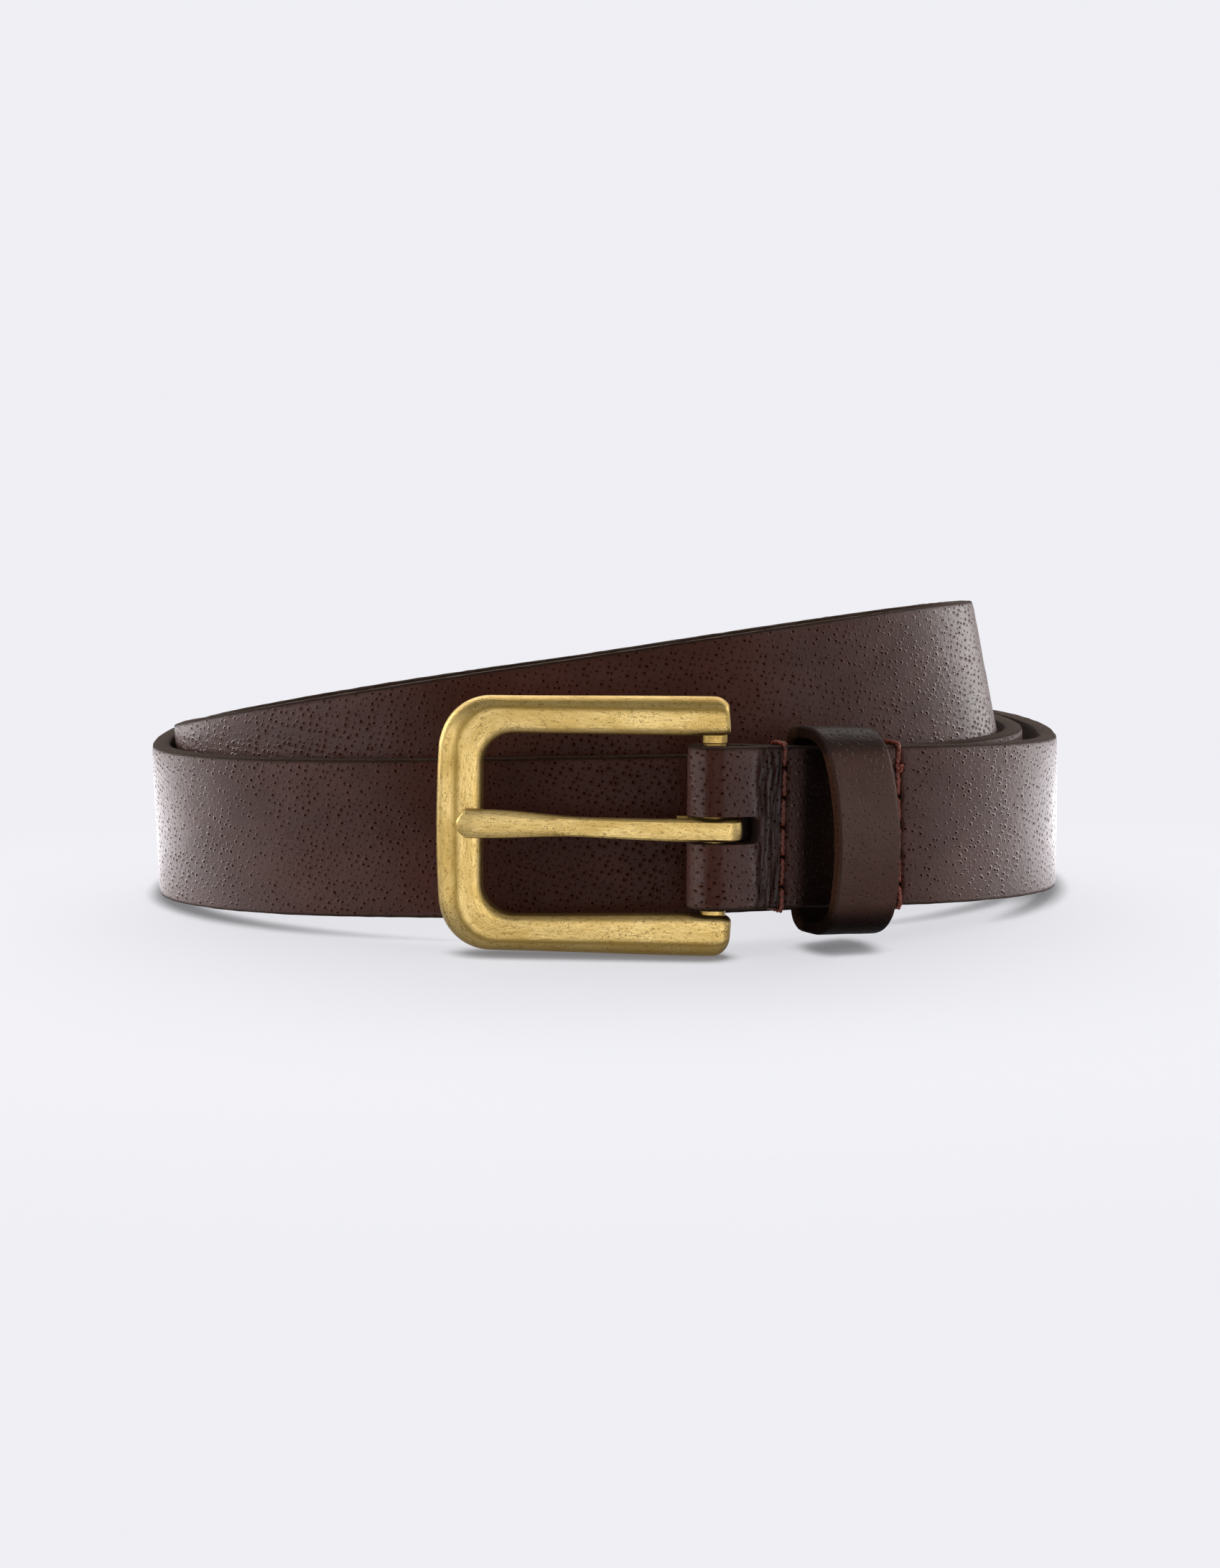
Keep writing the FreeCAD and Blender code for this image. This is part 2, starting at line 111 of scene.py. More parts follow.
def dot(a, b):
    return np.sum(a * b, axis=-1, keepdims=True)


def run_along(points):
    """Distance from the first point to each point of a line."""
    return np.concatenate([[0.0], np.cumsum(np.linalg.norm(np.diff(points, axis=0), axis=1))])


def look_up(at, known, table):
    """Each column of a table, at places between its known rows."""
    return np.stack([np.interp(at, known, column) for column in table.T], -1)


def polar(radius, degrees):
    return radius * math.cos(math.radians(degrees)), radius * math.sin(math.radians(degrees))


def coil_place(turn):
    quarter = np.minimum(((turn + 90.0) // 90.0).astype(int), len(STATIONS) - 2)
    start = STATIONS[quarter]
    stop = STATIONS[quarter + 1]
    share = (turn - start[:, 0]) / 90.0
    power = 2.0 / start[:, 6]
    near = np.cos(share * math.pi / 2) ** power
    far = np.sin(share * math.pi / 2) ** power
    a = np.radians(start[:, 0])
    b = np.radians(stop[:, 0])
    x = start[:, 1] * near * np.cos(a) + stop[:, 1] * far * np.cos(b)
    y = start[:, 1] * near * np.sin(a) + stop[:, 1] * far * np.sin(b)
    w = ease(share)
    middle = start[:, 3] + (stop[:, 3] - start[:, 3]) * w
    z = middle + (start[:, 2] - start[:, 3]) * near + (stop[:, 2] - stop[:, 3]) * far
    lean_x = start[:, 4] + (stop[:, 4] - start[:, 4]) * w
    lean_y = start[:, 5] + (stop[:, 5] - start[:, 5]) * w
    return np.stack([x, y, z], -1), np.stack([lean_x, lean_y, np.ones_like(z)], -1)


def smoothed(values, passes):
    """Softens the corners between the quarter turns; the ends stay."""
    for _ in range(passes):
        values[1:-1] = (values[:-2] + 2 * values[1:-1] + values[2:]) / 4
    return values


def lay_path():
    """Distances, middles, tangents, outward and across directions, all along the strap."""
    turns = np.arange(LEAD_TURN, BELT_END_TURN, 0.5)
    low, lean = coil_place(turns)
    share = np.arange(0, 1, 1 / 80)[:, None]
    lead = BAR_PLACE + (low[0] - BAR_PLACE) * share
    low = smoothed(np.concatenate([lead, low]), 60)
    lean = np.concatenate([np.repeat(lean[:1], len(lead), 0), lean])
    s = run_along(low)
    tangent = unit(np.gradient(low, axis=0))
    across = unit(lean - tangent * dot(lean, tangent))
    skew = BAR_SKEW * (1.0 - ease(s / INNER_SEAM))[:, None]
    across = unit(across + tangent * skew)
    along = unit(tangent - across * dot(tangent, across))
    middle = low + across * STRAP_WIDTH / 2 + COIL_MIDDLE
    return s, middle, along, np.cross(along, across), across


PATH_S, PATH_MIDDLE, PATH_ALONG, PATH_OUTWARD, PATH_ACROSS = lay_path()
BELT_LENGTH = PATH_S[-1]
LAST_ROW = BELT_LENGTH - 0.3


def on_strap(s):
    """Middle, along, outward and across at a distance from the bar."""
    s = np.asarray(s, float)
    return tuple(look_up(s, PATH_S, v) for v in (PATH_MIDDLE, PATH_ALONG, PATH_OUTWARD, PATH_ACROSS))


# ---------------- noise and mesh helpers

def lattice_noise(x, y, seed):
    """Smooth noise, about -1 to 1, with one bump per unit."""
    x0 = np.floor(x)
    y0 = np.floor(y)
    fx = ease(x - x0)
    fy = ease(y - y0)

    def corner(a, b):
        h = np.sin(a * 127.1 + b * 311.7 + seed * 74.7) * 43758.5453
        return (h - np.floor(h)) * 2 - 1

    low = corner(x0, y0) * (1 - fx) + corner(x0 + 1, y0) * fx
    high = corner(x0, y0 + 1) * (1 - fx) + corner(x0 + 1, y0 + 1) * fx
    return low * (1 - fy) + high * fy


def new_piece(name, points, faces, body, material, marks=None, sharp=35.0):
    """A mesh object in metres that rides on a CAD body."""
    mesh = bpy.data.meshes.new(name)
    mesh.from_pydata((np.asarray(points) * MM).tolist(), [], faces)
    for mark, values in (marks or {}).items():
        values = np.asarray(values, np.float32)
        if values.ndim == 2:
            layer = mesh.attributes.new(mark, "FLOAT_VECTOR", "POINT")
            layer.data.foreach_set("vector", values.ravel())
        else:
            layer = mesh.attributes.new(mark, "FLOAT", "POINT")
            layer.data.foreach_set("value", values)
    mesh.polygons.foreach_set("use_smooth", [True] * len(mesh.polygons))
    mesh.set_sharp_from_angle(angle=math.radians(sharp))
    mesh.materials.append(material)
    mesh.validate()
    mesh.update()
    piece = show(name, mesh)
    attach(piece, body)
    return piece


def show(name, data):
    """A new object in the scene."""
    made = bpy.data.objects.new(name, data)
    bpy.context.scene.collection.objects.link(made)
    return made


def sweep(rings, closed_path=False):
    """Faces of a closed tube through (rings, points) of equal size, with flat ends."""
    count, size = rings.shape[:2]
    faces = []
    for i in range(count if closed_path else count - 1):
        a = i * size
        b = (i + 1) % count * size
        for j in range(size):
            k = (j + 1) % size
            faces.append((a + j, a + k, b + k, b + j))
    if not closed_path:
        faces.append(tuple(range(size))[::-1])
        faces.append(tuple(range((count - 1) * size, count * size)))
    return rings.reshape(-1, 3), faces


# ---------------- materials

class Nodes:
    """Short calls for building the node tree of a material or a world."""

    def __init__(self, owner, shader):
        owner.use_nodes = True
        self.tree = owner.node_tree
        self.shader = self.tree.nodes[shader]

    def set(self, name, value):
        """Gives one input of the shader a value or a link."""
        self.put(self.shader.inputs[name], value)

    def add(self, kind, **settings):
        node = self.tree.nodes.new("ShaderNode" + kind)
        for key, value in settings.items():
            setattr(node, key, value)
        return node

    def link(self, source, target):
        self.tree.links.new(source, target)

    def put(self, socket, value):
        if isinstance(value, bpy.types.NodeSocket):
            self.link(value, socket)
        else:
            socket.default_value = value

    def mark(self, name, output):
        return self.add("Attribute", attribute_name=name).outputs[output]

    def scaled(self, vector, scale, offset=(0, 0, 0)):
        node = self.add("Mapping")
        self.link(vector, node.inputs["Vector"])
        node.inputs["Scale"].default_value = scale
        node.inputs["Location"].default_value = offset
        return node.outputs[0]

    def noise(self, vector, scale=1.0, detail=2.0, rough=0.5, distortion=0.0):
        node = self.add("TexNoise")
        self.link(vector, node.inputs["Vector"])
        node.inputs["Scale"].default_value = scale
        node.inputs["Detail"].default_value = detail
        node.inputs["Roughness"].default_value = rough
        node.inputs["Distortion"].default_value = distortion
        return node.outputs[0]

    def cells(self, vector, scale=1.0, randomness=1.0, feature="F1", output="Distance"):
        node = self.add("TexVoronoi", feature=feature, voronoi_dimensions="2D")
        self.link(vector, node.inputs["Vector"])
        node.inputs["Scale"].default_value = scale
        node.inputs["Randomness"].default_value = randomness
        return node.outputs[output]

    def sums(self, operation, a, b=0.0, c=0.0, clamp=False):
        node = self.add("Math", operation=operation, use_clamp=clamp)
        for socket, value in zip(node.inputs, (a, b, c)):
            self.put(socket, value)
        return node.outputs[0]

    def times(self, a, b):
        return self.sums("MULTIPLY", a, b)

    def flip(self, value):
        return self.sums("SUBTRACT", 1.0, value)

    def spread(self, value, low, high, to_low=0.0, to_high=1.0):
        node = self.add("MapRange", interpolation_type="SMOOTHSTEP")
        for key, item in zip(("Value", "From Min", "From Max", "To Min", "To Max"),
                             (value, low, high, to_low, to_high)):
            self.put(node.inputs[key], item)
        return node.outputs[0]

    def mix(self, share, a, b, blend="MIX"):
        node = self.add("Mix", data_type="RGBA", blend_type=blend)
        self.put(node.inputs[0], share)
        self.put(node.inputs[6], a if not isinstance(a, tuple) else (*a, 1.0))
        self.put(node.inputs[7], b if not isinstance(b, tuple) else (*b, 1.0))
        return node.outputs[2]

    def bump(self, height, strength, distance_mm, normal=None):
        node = self.add("Bump")
        self.put(node.inputs["Height"], height)
        node.inputs["Strength"].default_value = strength
        node.inputs["Distance"].default_value = distance_mm * MM
        if normal is not None:
            self.link(normal, node.inputs["Normal"])
        return node.outputs[0]


def material(name):
    made = bpy.data.materials.new(name)
    return made, Nodes(made, "Principled BSDF")


def leather(name, dark, light, pore, gloss, raw_dark, raw_light, front, side):
    """Aniline-dyed leather: hair pores, fine grain, mottled dye, and raw fibrous cut edges.

    The mark "place" holds millimetres along and round the strip, "raw" is 1 on cut edges and
    flesh, "crease" is 1 where the grain is crushed into fine wrinkles. The wax finish mirrors weakly
    seen square on ("front" times as much) and strongly at a slant ("side" times).
    """
    made, n = material(name)
    place = n.mark("place", "Vector")
    raw = n.mark("raw", "Fac")
    crease = n.mark("crease", "Fac")
    drift = n.noise(n.scaled(place, (0.22, 0.22, 1)), 1.0, 2.0)
    slant = n.add("Mapping")
    n.link(place, slant.inputs["Vector"])
    slant.inputs["Rotation"].default_value = (0, 0, math.radians(24))
    slant.inputs["Scale"].default_value = (1 / 1.45, 1 / 1.15, 1)
    wander = n.add("CombineXYZ")
    n.link(n.times(drift, 1.5), wander.inputs[0])
    n.link(n.times(drift, -1.1), wander.inputs[1])
    bent = n.add("VectorMath", operation="ADD")
    n.link(slant.outputs[0], bent.inputs[0])
    n.link(wander.outputs[0], bent.inputs[1])
    hair = n.cells(bent.outputs[0], 1.0, 0.55)
    density = n.noise(n.scaled(place, (0.045, 0.10, 1), (3, 1, 0)), 1.0, 1.0)
    size = n.spread(density, 0.36, 0.60, pore * 0.9, pore * 1.1)
    chance = n.cells(bent.outputs[0], 1.0, 0.55, output="Color")
    size = n.times(size, n.spread(chance, 0.2, 0.8, 0.45, 1.25))
    hole = n.flip(n.spread(hair, n.times(size, 0.45), size))
    rim = n.flip(n.spread(hair, size, n.times(size, 1.9)))
    pin = n.cells(n.scaled(place, (1 / 0.8, 1 / 0.9, 1), (31, 7, 0)), 1.0, 1.0)
    pin = n.flip(n.spread(pin, 0.04, 0.15))
    pin = n.times(pin, n.spread(density, 0.45, 0.30, 0.0, 0.7))
    pores = n.sums("MAXIMUM", hole, pin)
    grain = n.noise(n.scaled(place, (2.6, 1.9, 1)), 1.0, 5.0, 0.62)
    streak = n.noise(n.scaled(place, (3.4, 0.16, 1)), 1.0, 3.0, 0.6)
    wrinkle = n.noise(n.scaled(place, (4.2, 0.42, 1)), 1.0, 4.0, 0.65, 0.8)
    pebble = n.cells(n.scaled(place, (1.3, 1.1, 1)), 1.0, 1.0, "SMOOTH_F1")
    fibre = n.noise(n.scaled(place, (1.6, 6.0, 1)), 1.0, 5.0, 0.7)

    mottle = n.noise(n.scaled(place, (0.055, 0.075, 1)), 1.0, 3.0, 0.55)
    skin = n.mix(n.spread(mottle, 0.35, 0.68), dark, light)
    skin = n.mix(n.times(n.spread(streak, 0.45, 0.75), 0.35), skin, tuple(v * 0.5 for v in dark))
    skin = n.mix(n.times(n.sums("SUBTRACT", rim, pores, clamp=True), 0.30), skin,
                 tuple(v * 2.0 for v in light))
    skin = n.mix(n.times(pores, 0.68), skin, tuple(v * 0.05 for v in dark))
    # Painted highlight and shade on the crushed grain: the wrinkles' ridges are lightened to pale grey
    # and their valleys darkened almost to black, following the same noise as their bump.
    skin = n.mix(n.times(crease, n.spread(wrinkle, 0.50, 0.64)), skin, (0.105, 0.085, 0.080))
    skin = n.mix(n.times(crease, n.spread(wrinkle, 0.50, 0.38)), skin, (0.004, 0.002, 0.002))
    cut = n.mix(n.spread(fibre, 0.38, 0.62), raw_dark, raw_light)
    # The stitched mark: x is the seam grooves and slot rim, y the needle holes, and z a painted shade,
    # near black, on the strap by the keeper and on the keeper's hollows and bends.
    seams = n.add("SeparateXYZ")
    n.link(n.mark("stitched_and_shade", "Vector"), seams.inputs[0])
    rust = n.mix(n.spread(fibre, 0.4, 0.6), (0.022, 0.004, 0.002), (0.105, 0.017, 0.006))
    skin = n.mix(n.times(seams.outputs[0], 0.75), skin, rust)
    skin = n.mix(n.times(seams.outputs[1], 0.9), skin, (0.0015, 0.0006, 0.0005))
    cut = n.mix(n.times(seams.outputs[0], 0.8), cut, (0.16, 0.034, 0.012))
    colour = n.mix(raw, skin, cut)
    # Painted shade: the third channel colours the leather almost black.
    colour = n.mix(n.times(seams.outputs[2], 0.88), colour, (0.001, 0.0004, 0.0003))
    n.set("Base Color", colour)
    shine = n.spread(grain, 0.3, 0.7, gloss - 0.06, gloss + 0.10)
    shine = n.sums("MULTIPLY_ADD", pores, 0.35, shine)
    shine = n.sums("MULTIPLY_ADD", crease, 0.12, shine)
    n.set("Roughness", n.sums("MULTIPLY_ADD", raw, 0.45, shine, True))
    matt = n.sums("MAXIMUM", n.sums("MAXIMUM", raw, pores), seams.outputs[1])
    # The painted shade also takes the sheen away.
    matt = n.sums("MAXIMUM", matt, seams.outputs[2])
    turned = n.add("LayerWeight")
    turned.inputs["Blend"].default_value = 0.5
    slanted = turned.outputs["Facing"]
    glance = n.times(n.spread(slanted, 0.02, 0.08, front, 1.2), n.spread(slanted, 0.08, 0.36, 1.0, side))
    mirror = n.sums("MULTIPLY_ADD", matt, -0.24, 0.28)
    n.set("Specular IOR Level", n.times(mirror, glance))

    whole = n.flip(raw)
    dents = n.sums("SUBTRACT", n.times(rim, 0.35), pores)
    surface = n.bump(n.times(dents, whole), 1.0, 0.22)
    surface = n.bump(n.times(grain, whole), 0.45, 0.14, surface)
    surface = n.bump(n.times(streak, whole), 0.35, 0.14, surface)
    surface = n.bump(n.times(pebble, whole), 0.20, 0.18, surface)
    surface = n.bump(n.times(wrinkle, crease), 1.0, 0.9, surface)
    surface = n.bump(n.times(fibre, raw), 0.9, 0.45, surface)
    n.set("Normal", surface)
    return made


def aged_brass(name):
    """Cast brass with rubbed highs, brown-olive patina, lengthwise scratches and pits.

    The place mark holds millimetres along and across the bar; the tarnish mark is 1 in the hollows, and
    on the arms' outer bevels it also carries painted shade.
    """
    made, n = material(name)
    place = n.mark("place", "Vector")
    tarnish_and_shade = n.mark("tarnish_and_shade", "Fac")
    cloud = n.noise(n.scaled(place, (0.10, 0.30, 1)), 1.0, 5.0, 0.62, 0.4)
    brushed = n.noise(n.scaled(place, (0.30, 6.0, 1)), 1.0, 5.0, 0.70)
    line = n.noise(n.scaled(place, (0.35, 3.2, 1), (9, 3, 0)), 1.0, 2.0, 0.5, 1.2)
    line = n.sums("ABSOLUTE", n.sums("SUBTRACT", line, 0.5))
    scratch = n.flip(n.spread(line, 0.0, 0.012))
    pits = n.cells(n.scaled(place, (1.3, 2.4, 1), (3, 11, 0)), 1.0, 1.0)
    pits = n.flip(n.spread(pits, 0.05, 0.19))
    clusters = n.noise(n.scaled(place, (0.20, 0.42, 1), (2, 8, 0)), 1.0, 3.0, 0.6)
    pits = n.times(pits, n.spread(clusters, 0.46, 0.62))
    worn = n.noise(n.scaled(place, (0.75, 2.0, 1), (17, 2, 0)), 1.0, 6.0, 0.78)
    metal = n.mix(n.spread(cloud, 0.34, 0.66), (0.84, 0.62, 0.26), (0.70, 0.48, 0.16))
    metal = n.mix(n.times(n.spread(brushed, 0.42, 0.66), 0.5), metal, (0.50, 0.34, 0.10))
    metal = n.mix(n.times(n.spread(worn, 0.52, 0.64), 0.8), metal, (0.27, 0.165, 0.045))
    metal = n.mix(n.times(tarnish_and_shade, 0.8), metal, (0.34, 0.205, 0.033))
    metal = n.mix(n.times(pits, 0.95), metal, (0.035, 0.018, 0.007))
    metal = n.mix(n.times(scratch, 0.35), metal, (0.20, 0.12, 0.035))
    n.set("Base Color", metal)
    n.set("Metallic", 1.0)
    rough = n.spread(cloud, 0.3, 0.7, 0.22, 0.34)
    rough = n.sums("MULTIPLY_ADD", brushed, 0.12, rough)
    rough = n.sums("MULTIPLY_ADD", pits, 0.35, rough)
    n.set("Roughness", n.sums("MULTIPLY_ADD", tarnish_and_shade, 0.08, rough, True))
    surface = n.bump(brushed, 0.35, 0.09)
    surface = n.bump(worn, 0.45, 0.16, surface)
    surface = n.bump(n.sums("MULTIPLY_ADD", scratch, 0.5, pits), -0.6, 0.14, surface)
    n.set("Normal", surface)
    return made


def waxed_thread(name):
    made, n = material(name)
    where = n.add("TexCoord").outputs["Object"]
    fluff = n.noise(where, 2600.0, 3.0, 0.6)
    patch = n.noise(where, 260.0, 2.0, 0.5)
    colour = n.mix(n.spread(fluff, 0.35, 0.7), (0.085, 0.012, 0.005), (0.33, 0.052, 0.016))
    colour = n.mix(n.spread(patch, 0.60, 0.75), colour, (0.030, 0.007, 0.004))
    n.set("Base Color", colour)
    n.set("Roughness", 0.5)
    n.set("Normal", n.bump(fluff, 0.6, 0.12))
    return made


def staple_wire(name):
    made, n = material(name)
    where = n.add("TexCoord").outputs["Object"]
    drawn = n.noise(n.scaled(where, (900, 900, 4000)), 1.0, 3.0)
    n.set("Base Color", n.mix(n.spread(drawn, 0.3, 0.7), (0.62, 0.60, 0.57), (0.36, 0.34, 0.31)))
    n.set("Metallic", 1.0)
    n.set("Roughness", n.spread(drawn, 0.3, 0.7, 0.28, 0.5))
    return made


BELT_LEATHER = leather("belt_leather", (0.056, 0.0165, 0.0100), (0.076, 0.0245, 0.0165),
                       0.19, 0.36, (0.016, 0.0075, 0.0045), (0.11, 0.066, 0.045), 0.25, 2.8)
KEEPER_LEATHER = leather("keeper_leather", (0.064, 0.025, 0.016), (0.080, 0.034, 0.023),
                         0.12, 0.38, (0.022, 0.0085, 0.0050), (0.085, 0.038, 0.022), 0.9, 0.5)
BRASS = aged_brass("aged_brass")
THREAD = waxed_thread("waxed_thread")
STAPLE = staple_wire("staple_wire")

# ---------------- the strap

FOLD_FRONT = BAR_RADIUS + FIT + STRAP_THICKNESS / 2
FOLD_BACK = BAR_RADIUS + FIT + TURNBACK_THICKNESS / 2
BAR_DEPTH = FOLD_FRONT - FOLD_BULGE
CLAMPED = STRAP_THICKNESS / 2 + LAYER_GAP + TURNBACK_THICKNESS / 2
FOLD_RUN = 11.0                 # length given to the fold, in the strip's own distance


def bulge(s):
    return FOLD_BULGE * (1.0 - ease(s / (INNER_SEAM - SEAM_FLAT)))


def turnback_depth(s):
    closing = 1.0 - ease(s / (INNER_SEAM - SEAM_FLAT))
    opening = (ease((s - INNER_SEAM - SEAM_FLAT) / POCKET_RAMP)
               - ease((s - OUTER_SEAM + SEAM_FLAT + POCKET_RAMP) / POCKET_RAMP))
    return (CLAMPED + (BAR_DEPTH + FOLD_BACK - CLAMPED) * closing + (KEEPER_POCKET - LAYER_GAP) * opening)


def strip_sections():
    """The whole strip by its own distance u: back to the fold, round it, and on to the tip."""
    rows = []
    for s in np.arange(TURNBACK_LENGTH, 0.0, -0.25):
        middle, along, outward, across = on_strap(s)
        rows.append((-FOLD_RUN - s, middle - outward * turnback_depth(s), -outward, across,
                     TURNBACK_THICKNESS))
    middle, along, outward, across = on_strap(0.0)
    bar = middle - outward * BAR_DEPTH
    for share in np.linspace(0, 1, 41):
        angle = math.pi * share
        grain = -outward * math.cos(angle) - along * math.sin(angle)
        w = ease(share)
        rows.append((-FOLD_RUN * (1 - share), bar + grain * (FOLD_BACK + (FOLD_FRONT
                     - FOLD_BACK) * w), grain, across,
                     TURNBACK_THICKNESS + (STRAP_THICKNESS - TURNBACK_THICKNESS) * w))
    for s in np.arange(0.25, BELT_LENGTH, 0.5):
        middle, along, outward, across = on_strap(s)
        rows.append((s, middle + outward * bulge(s), outward, across, STRAP_THICKNESS))
    u = np.array([row[0] for row in rows])
    return u, [np.array([row[k] for row in rows]) for k in range(1, 5)]


def strip_rows():
    """Distances of the mesh's rows: close together where the leather is worked."""
    spans = ((-FOLD_RUN - TURNBACK_LENGTH, -FOLD_RUN - 14.0, 0.9),
             (-FOLD_RUN - 14.0, -FOLD_RUN, 0.35), (-FOLD_RUN, 0.0, 0.3), (0.0, 6.0, 0.25),
             (6.0, 13.2, 0.13), (13.2, 14.6, 0.28), (14.6, 34.6, 0.8), (34.6, 38.4, 0.275),
             (38.4, LAST_ROW, 2.0))
    rows = [LAST_ROW]
    for start, stop, step in spans:
        count = max(1, round((stop - start) / step))
        rows += list(np.linspace(start, stop, count, endpoint=False))
    specials = [hole + d for hole in HOLES for d in np.linspace(-3.0, 3.0, 11)]
    specials += [LAST_ROW - d for d in (0.4, 0.9, 1.6, 2.5, 3.5, 4.6, 5.8)]
    specials += [SLOT_END, -FOLD_RUN - SLOT_END]
    for seam in SEAMS:
        for side in (-0.55, 0.55):
            specials += [seam + side, -FOLD_RUN - seam + side]
    kept = [s for s in rows if min(abs(s - t) for t in specials) > 0.06]
    return np.array(sorted(kept + specials))


FACE_EDGE = 14.45


def strip_columns():
    one_side = [0.0, 0.55, 1.05, 1.6, 2.1, 2.55, 3.1, 3.9, 4.45, 5.0, 5.5, 6.0, 6.55, 7.3,
                8.1, 8.9, 9.4, 9.95, 10.5, 11.0, 11.5, 12.05, 12.7, 13.4, 14.0, FACE_EDGE]
    return np.array([-h for h in one_side[:0:-1]] + one_side)


def hole_outline(s, h, folded):
    """Signed room to the nearest opening's edge, below zero inside, and its nearest point."""
    best = (9.0, s, h)
    inner_s = SLOT_END - SLOT_CORNER
    inner_h = SLOT_HALF - SLOT_CORNER
    if abs(s) < SLOT_END + 2 or folded:
        ds = s - inner_s
        hs = h + SLOT_DROP
        dh = abs(hs) - inner_h
        out = math.hypot(max(ds, 0), max(dh, 0))
        room = out - SLOT_CORNER if out > 0 else max(ds, dh) - SLOT_CORNER
        if out > 1e-9:
            k = SLOT_CORNER / out
            best = (room, s if ds <= 0 else inner_s + ds * k,
                    h if dh <= 0 else math.copysign(inner_h + dh * k, hs) - SLOT_DROP)
        else:
            best = (room, s, h)
    if not folded and s > HOLES_START:
        for hole in HOLES:
            ds = s - hole
            out = math.hypot(ds, h)
            if 1e-6 < out < HOLE_RADIUS + 2:
                m = HOLE_RADIUS / out
                best = (out - HOLE_RADIUS, s - ds + ds * m, h * m)
            elif out <= 1e-6:
                best = (-HOLE_RADIUS, s, h)
    return best


def in_slit(s, h):
    near = any(abs(s - seam) < SLIT_HALF_WIDTH for seam in SEAMS)
    return near and any(abs(h - stitch) < SLIT_HALF_HEIGHT for stitch in STITCHES)


def own_distance(u):
    """Distance from the bar along either layer, and whether u is on the turnback or fold."""
    if u >= 0:
        return u, False
    return max(-u - FOLD_RUN, 0.0), True


def seam_line(seam, h):
    """Distance from the bar of a seam at one height: the outer seam was sewn at a slant."""
    return seam if seam == INNER_SEAM else seam - OUTER_SEAM_SHIFT - OUTER_SEAM_SLANT * h


def stitch_rows(u, h):
    """How near the leather is to a seam's groove and to its needle holes, each 0 to 1."""
    s = np.where(u >= 0, u, -u - FOLD_RUN)
    groove = 0.0
    holes = 0.0
    for seam in SEAMS:
        wander = 0.12 * lattice_noise(h * 0.5, s * 0 + seam, 17)
        groove = groove + np.exp(-((s - seam - wander) / 0.62) ** 2)
        for stitch in STITCHES:
            side = h - stitch
            holes = holes + np.exp(-((s - seam) ** 2 + side ** 2) / 0.75 ** 2)
    return np.clip(groove, 0, 1), np.clip(holes, 0, 1)


def crush(u, h):
    """1 where the grain of the fold is crushed into fine wrinkles just before the seam."""
    ragged = 0.5 * lattice_noise(h * 0.7, u * 0, 19)
    return ease((u - CRUSH_START - ragged) / 1.4) * (1 - ease((u - CRUSH_END - ragged) / 0.9)) * (u >= 0)


def relief(u, h):
    """How far the grain surface stands proud, in millimetres, from how the belt was worked."""
    out = lattice_noise(u * 0.35, h * 0.35, 3) * 0.05
    out = out + lattice_noise(u * 0.09, h * 0.12, 4) * 0.08
    front = u >= 0
    waved = u * 1.9 + 1.2 * lattice_noise(u * 0.5, h * 0.25, 8)
    out = out + crush(u, h) * (lattice_noise(waved, h * 0.22, 5) * 0.15
                               + lattice_noise(waved * 2.1, h * 0.5, 15) * 0.07)
    out = out - 0.32 * np.exp(-((u - 6.3 - 0.3 * np.sin(h * 0.5)) / 0.8) ** 2) * front
    out = out - 0.14 * np.exp(-((u - 9.3 - 0.2 * np.sin(h * 0.3)) / 0.5) ** 2) * front
    # Hair follicles stand up as beads where the grain is stretched over the bar.
    tight = np.exp(-((u + 4.4) / 2.6) ** 2)
    row = np.floor(u / 1.05)
    across_row = (h + 0.55 * (row % 2)) / 1.15
    bead_u = u / 1.05 - row - 0.5
    bead_h = across_row - np.floor(across_row) - 0.5
    shift = 0.25 * lattice_noise(row * 1.7, np.floor(across_row) * 1.3, 23)
    out = out + 0.13 * tight * np.exp(-(bead_u ** 2 + (bead_h + shift) ** 2) / 0.07)
    groove, holes = stitch_rows(u, h)
    return out - 0.38 * groove - 0.30 * holes


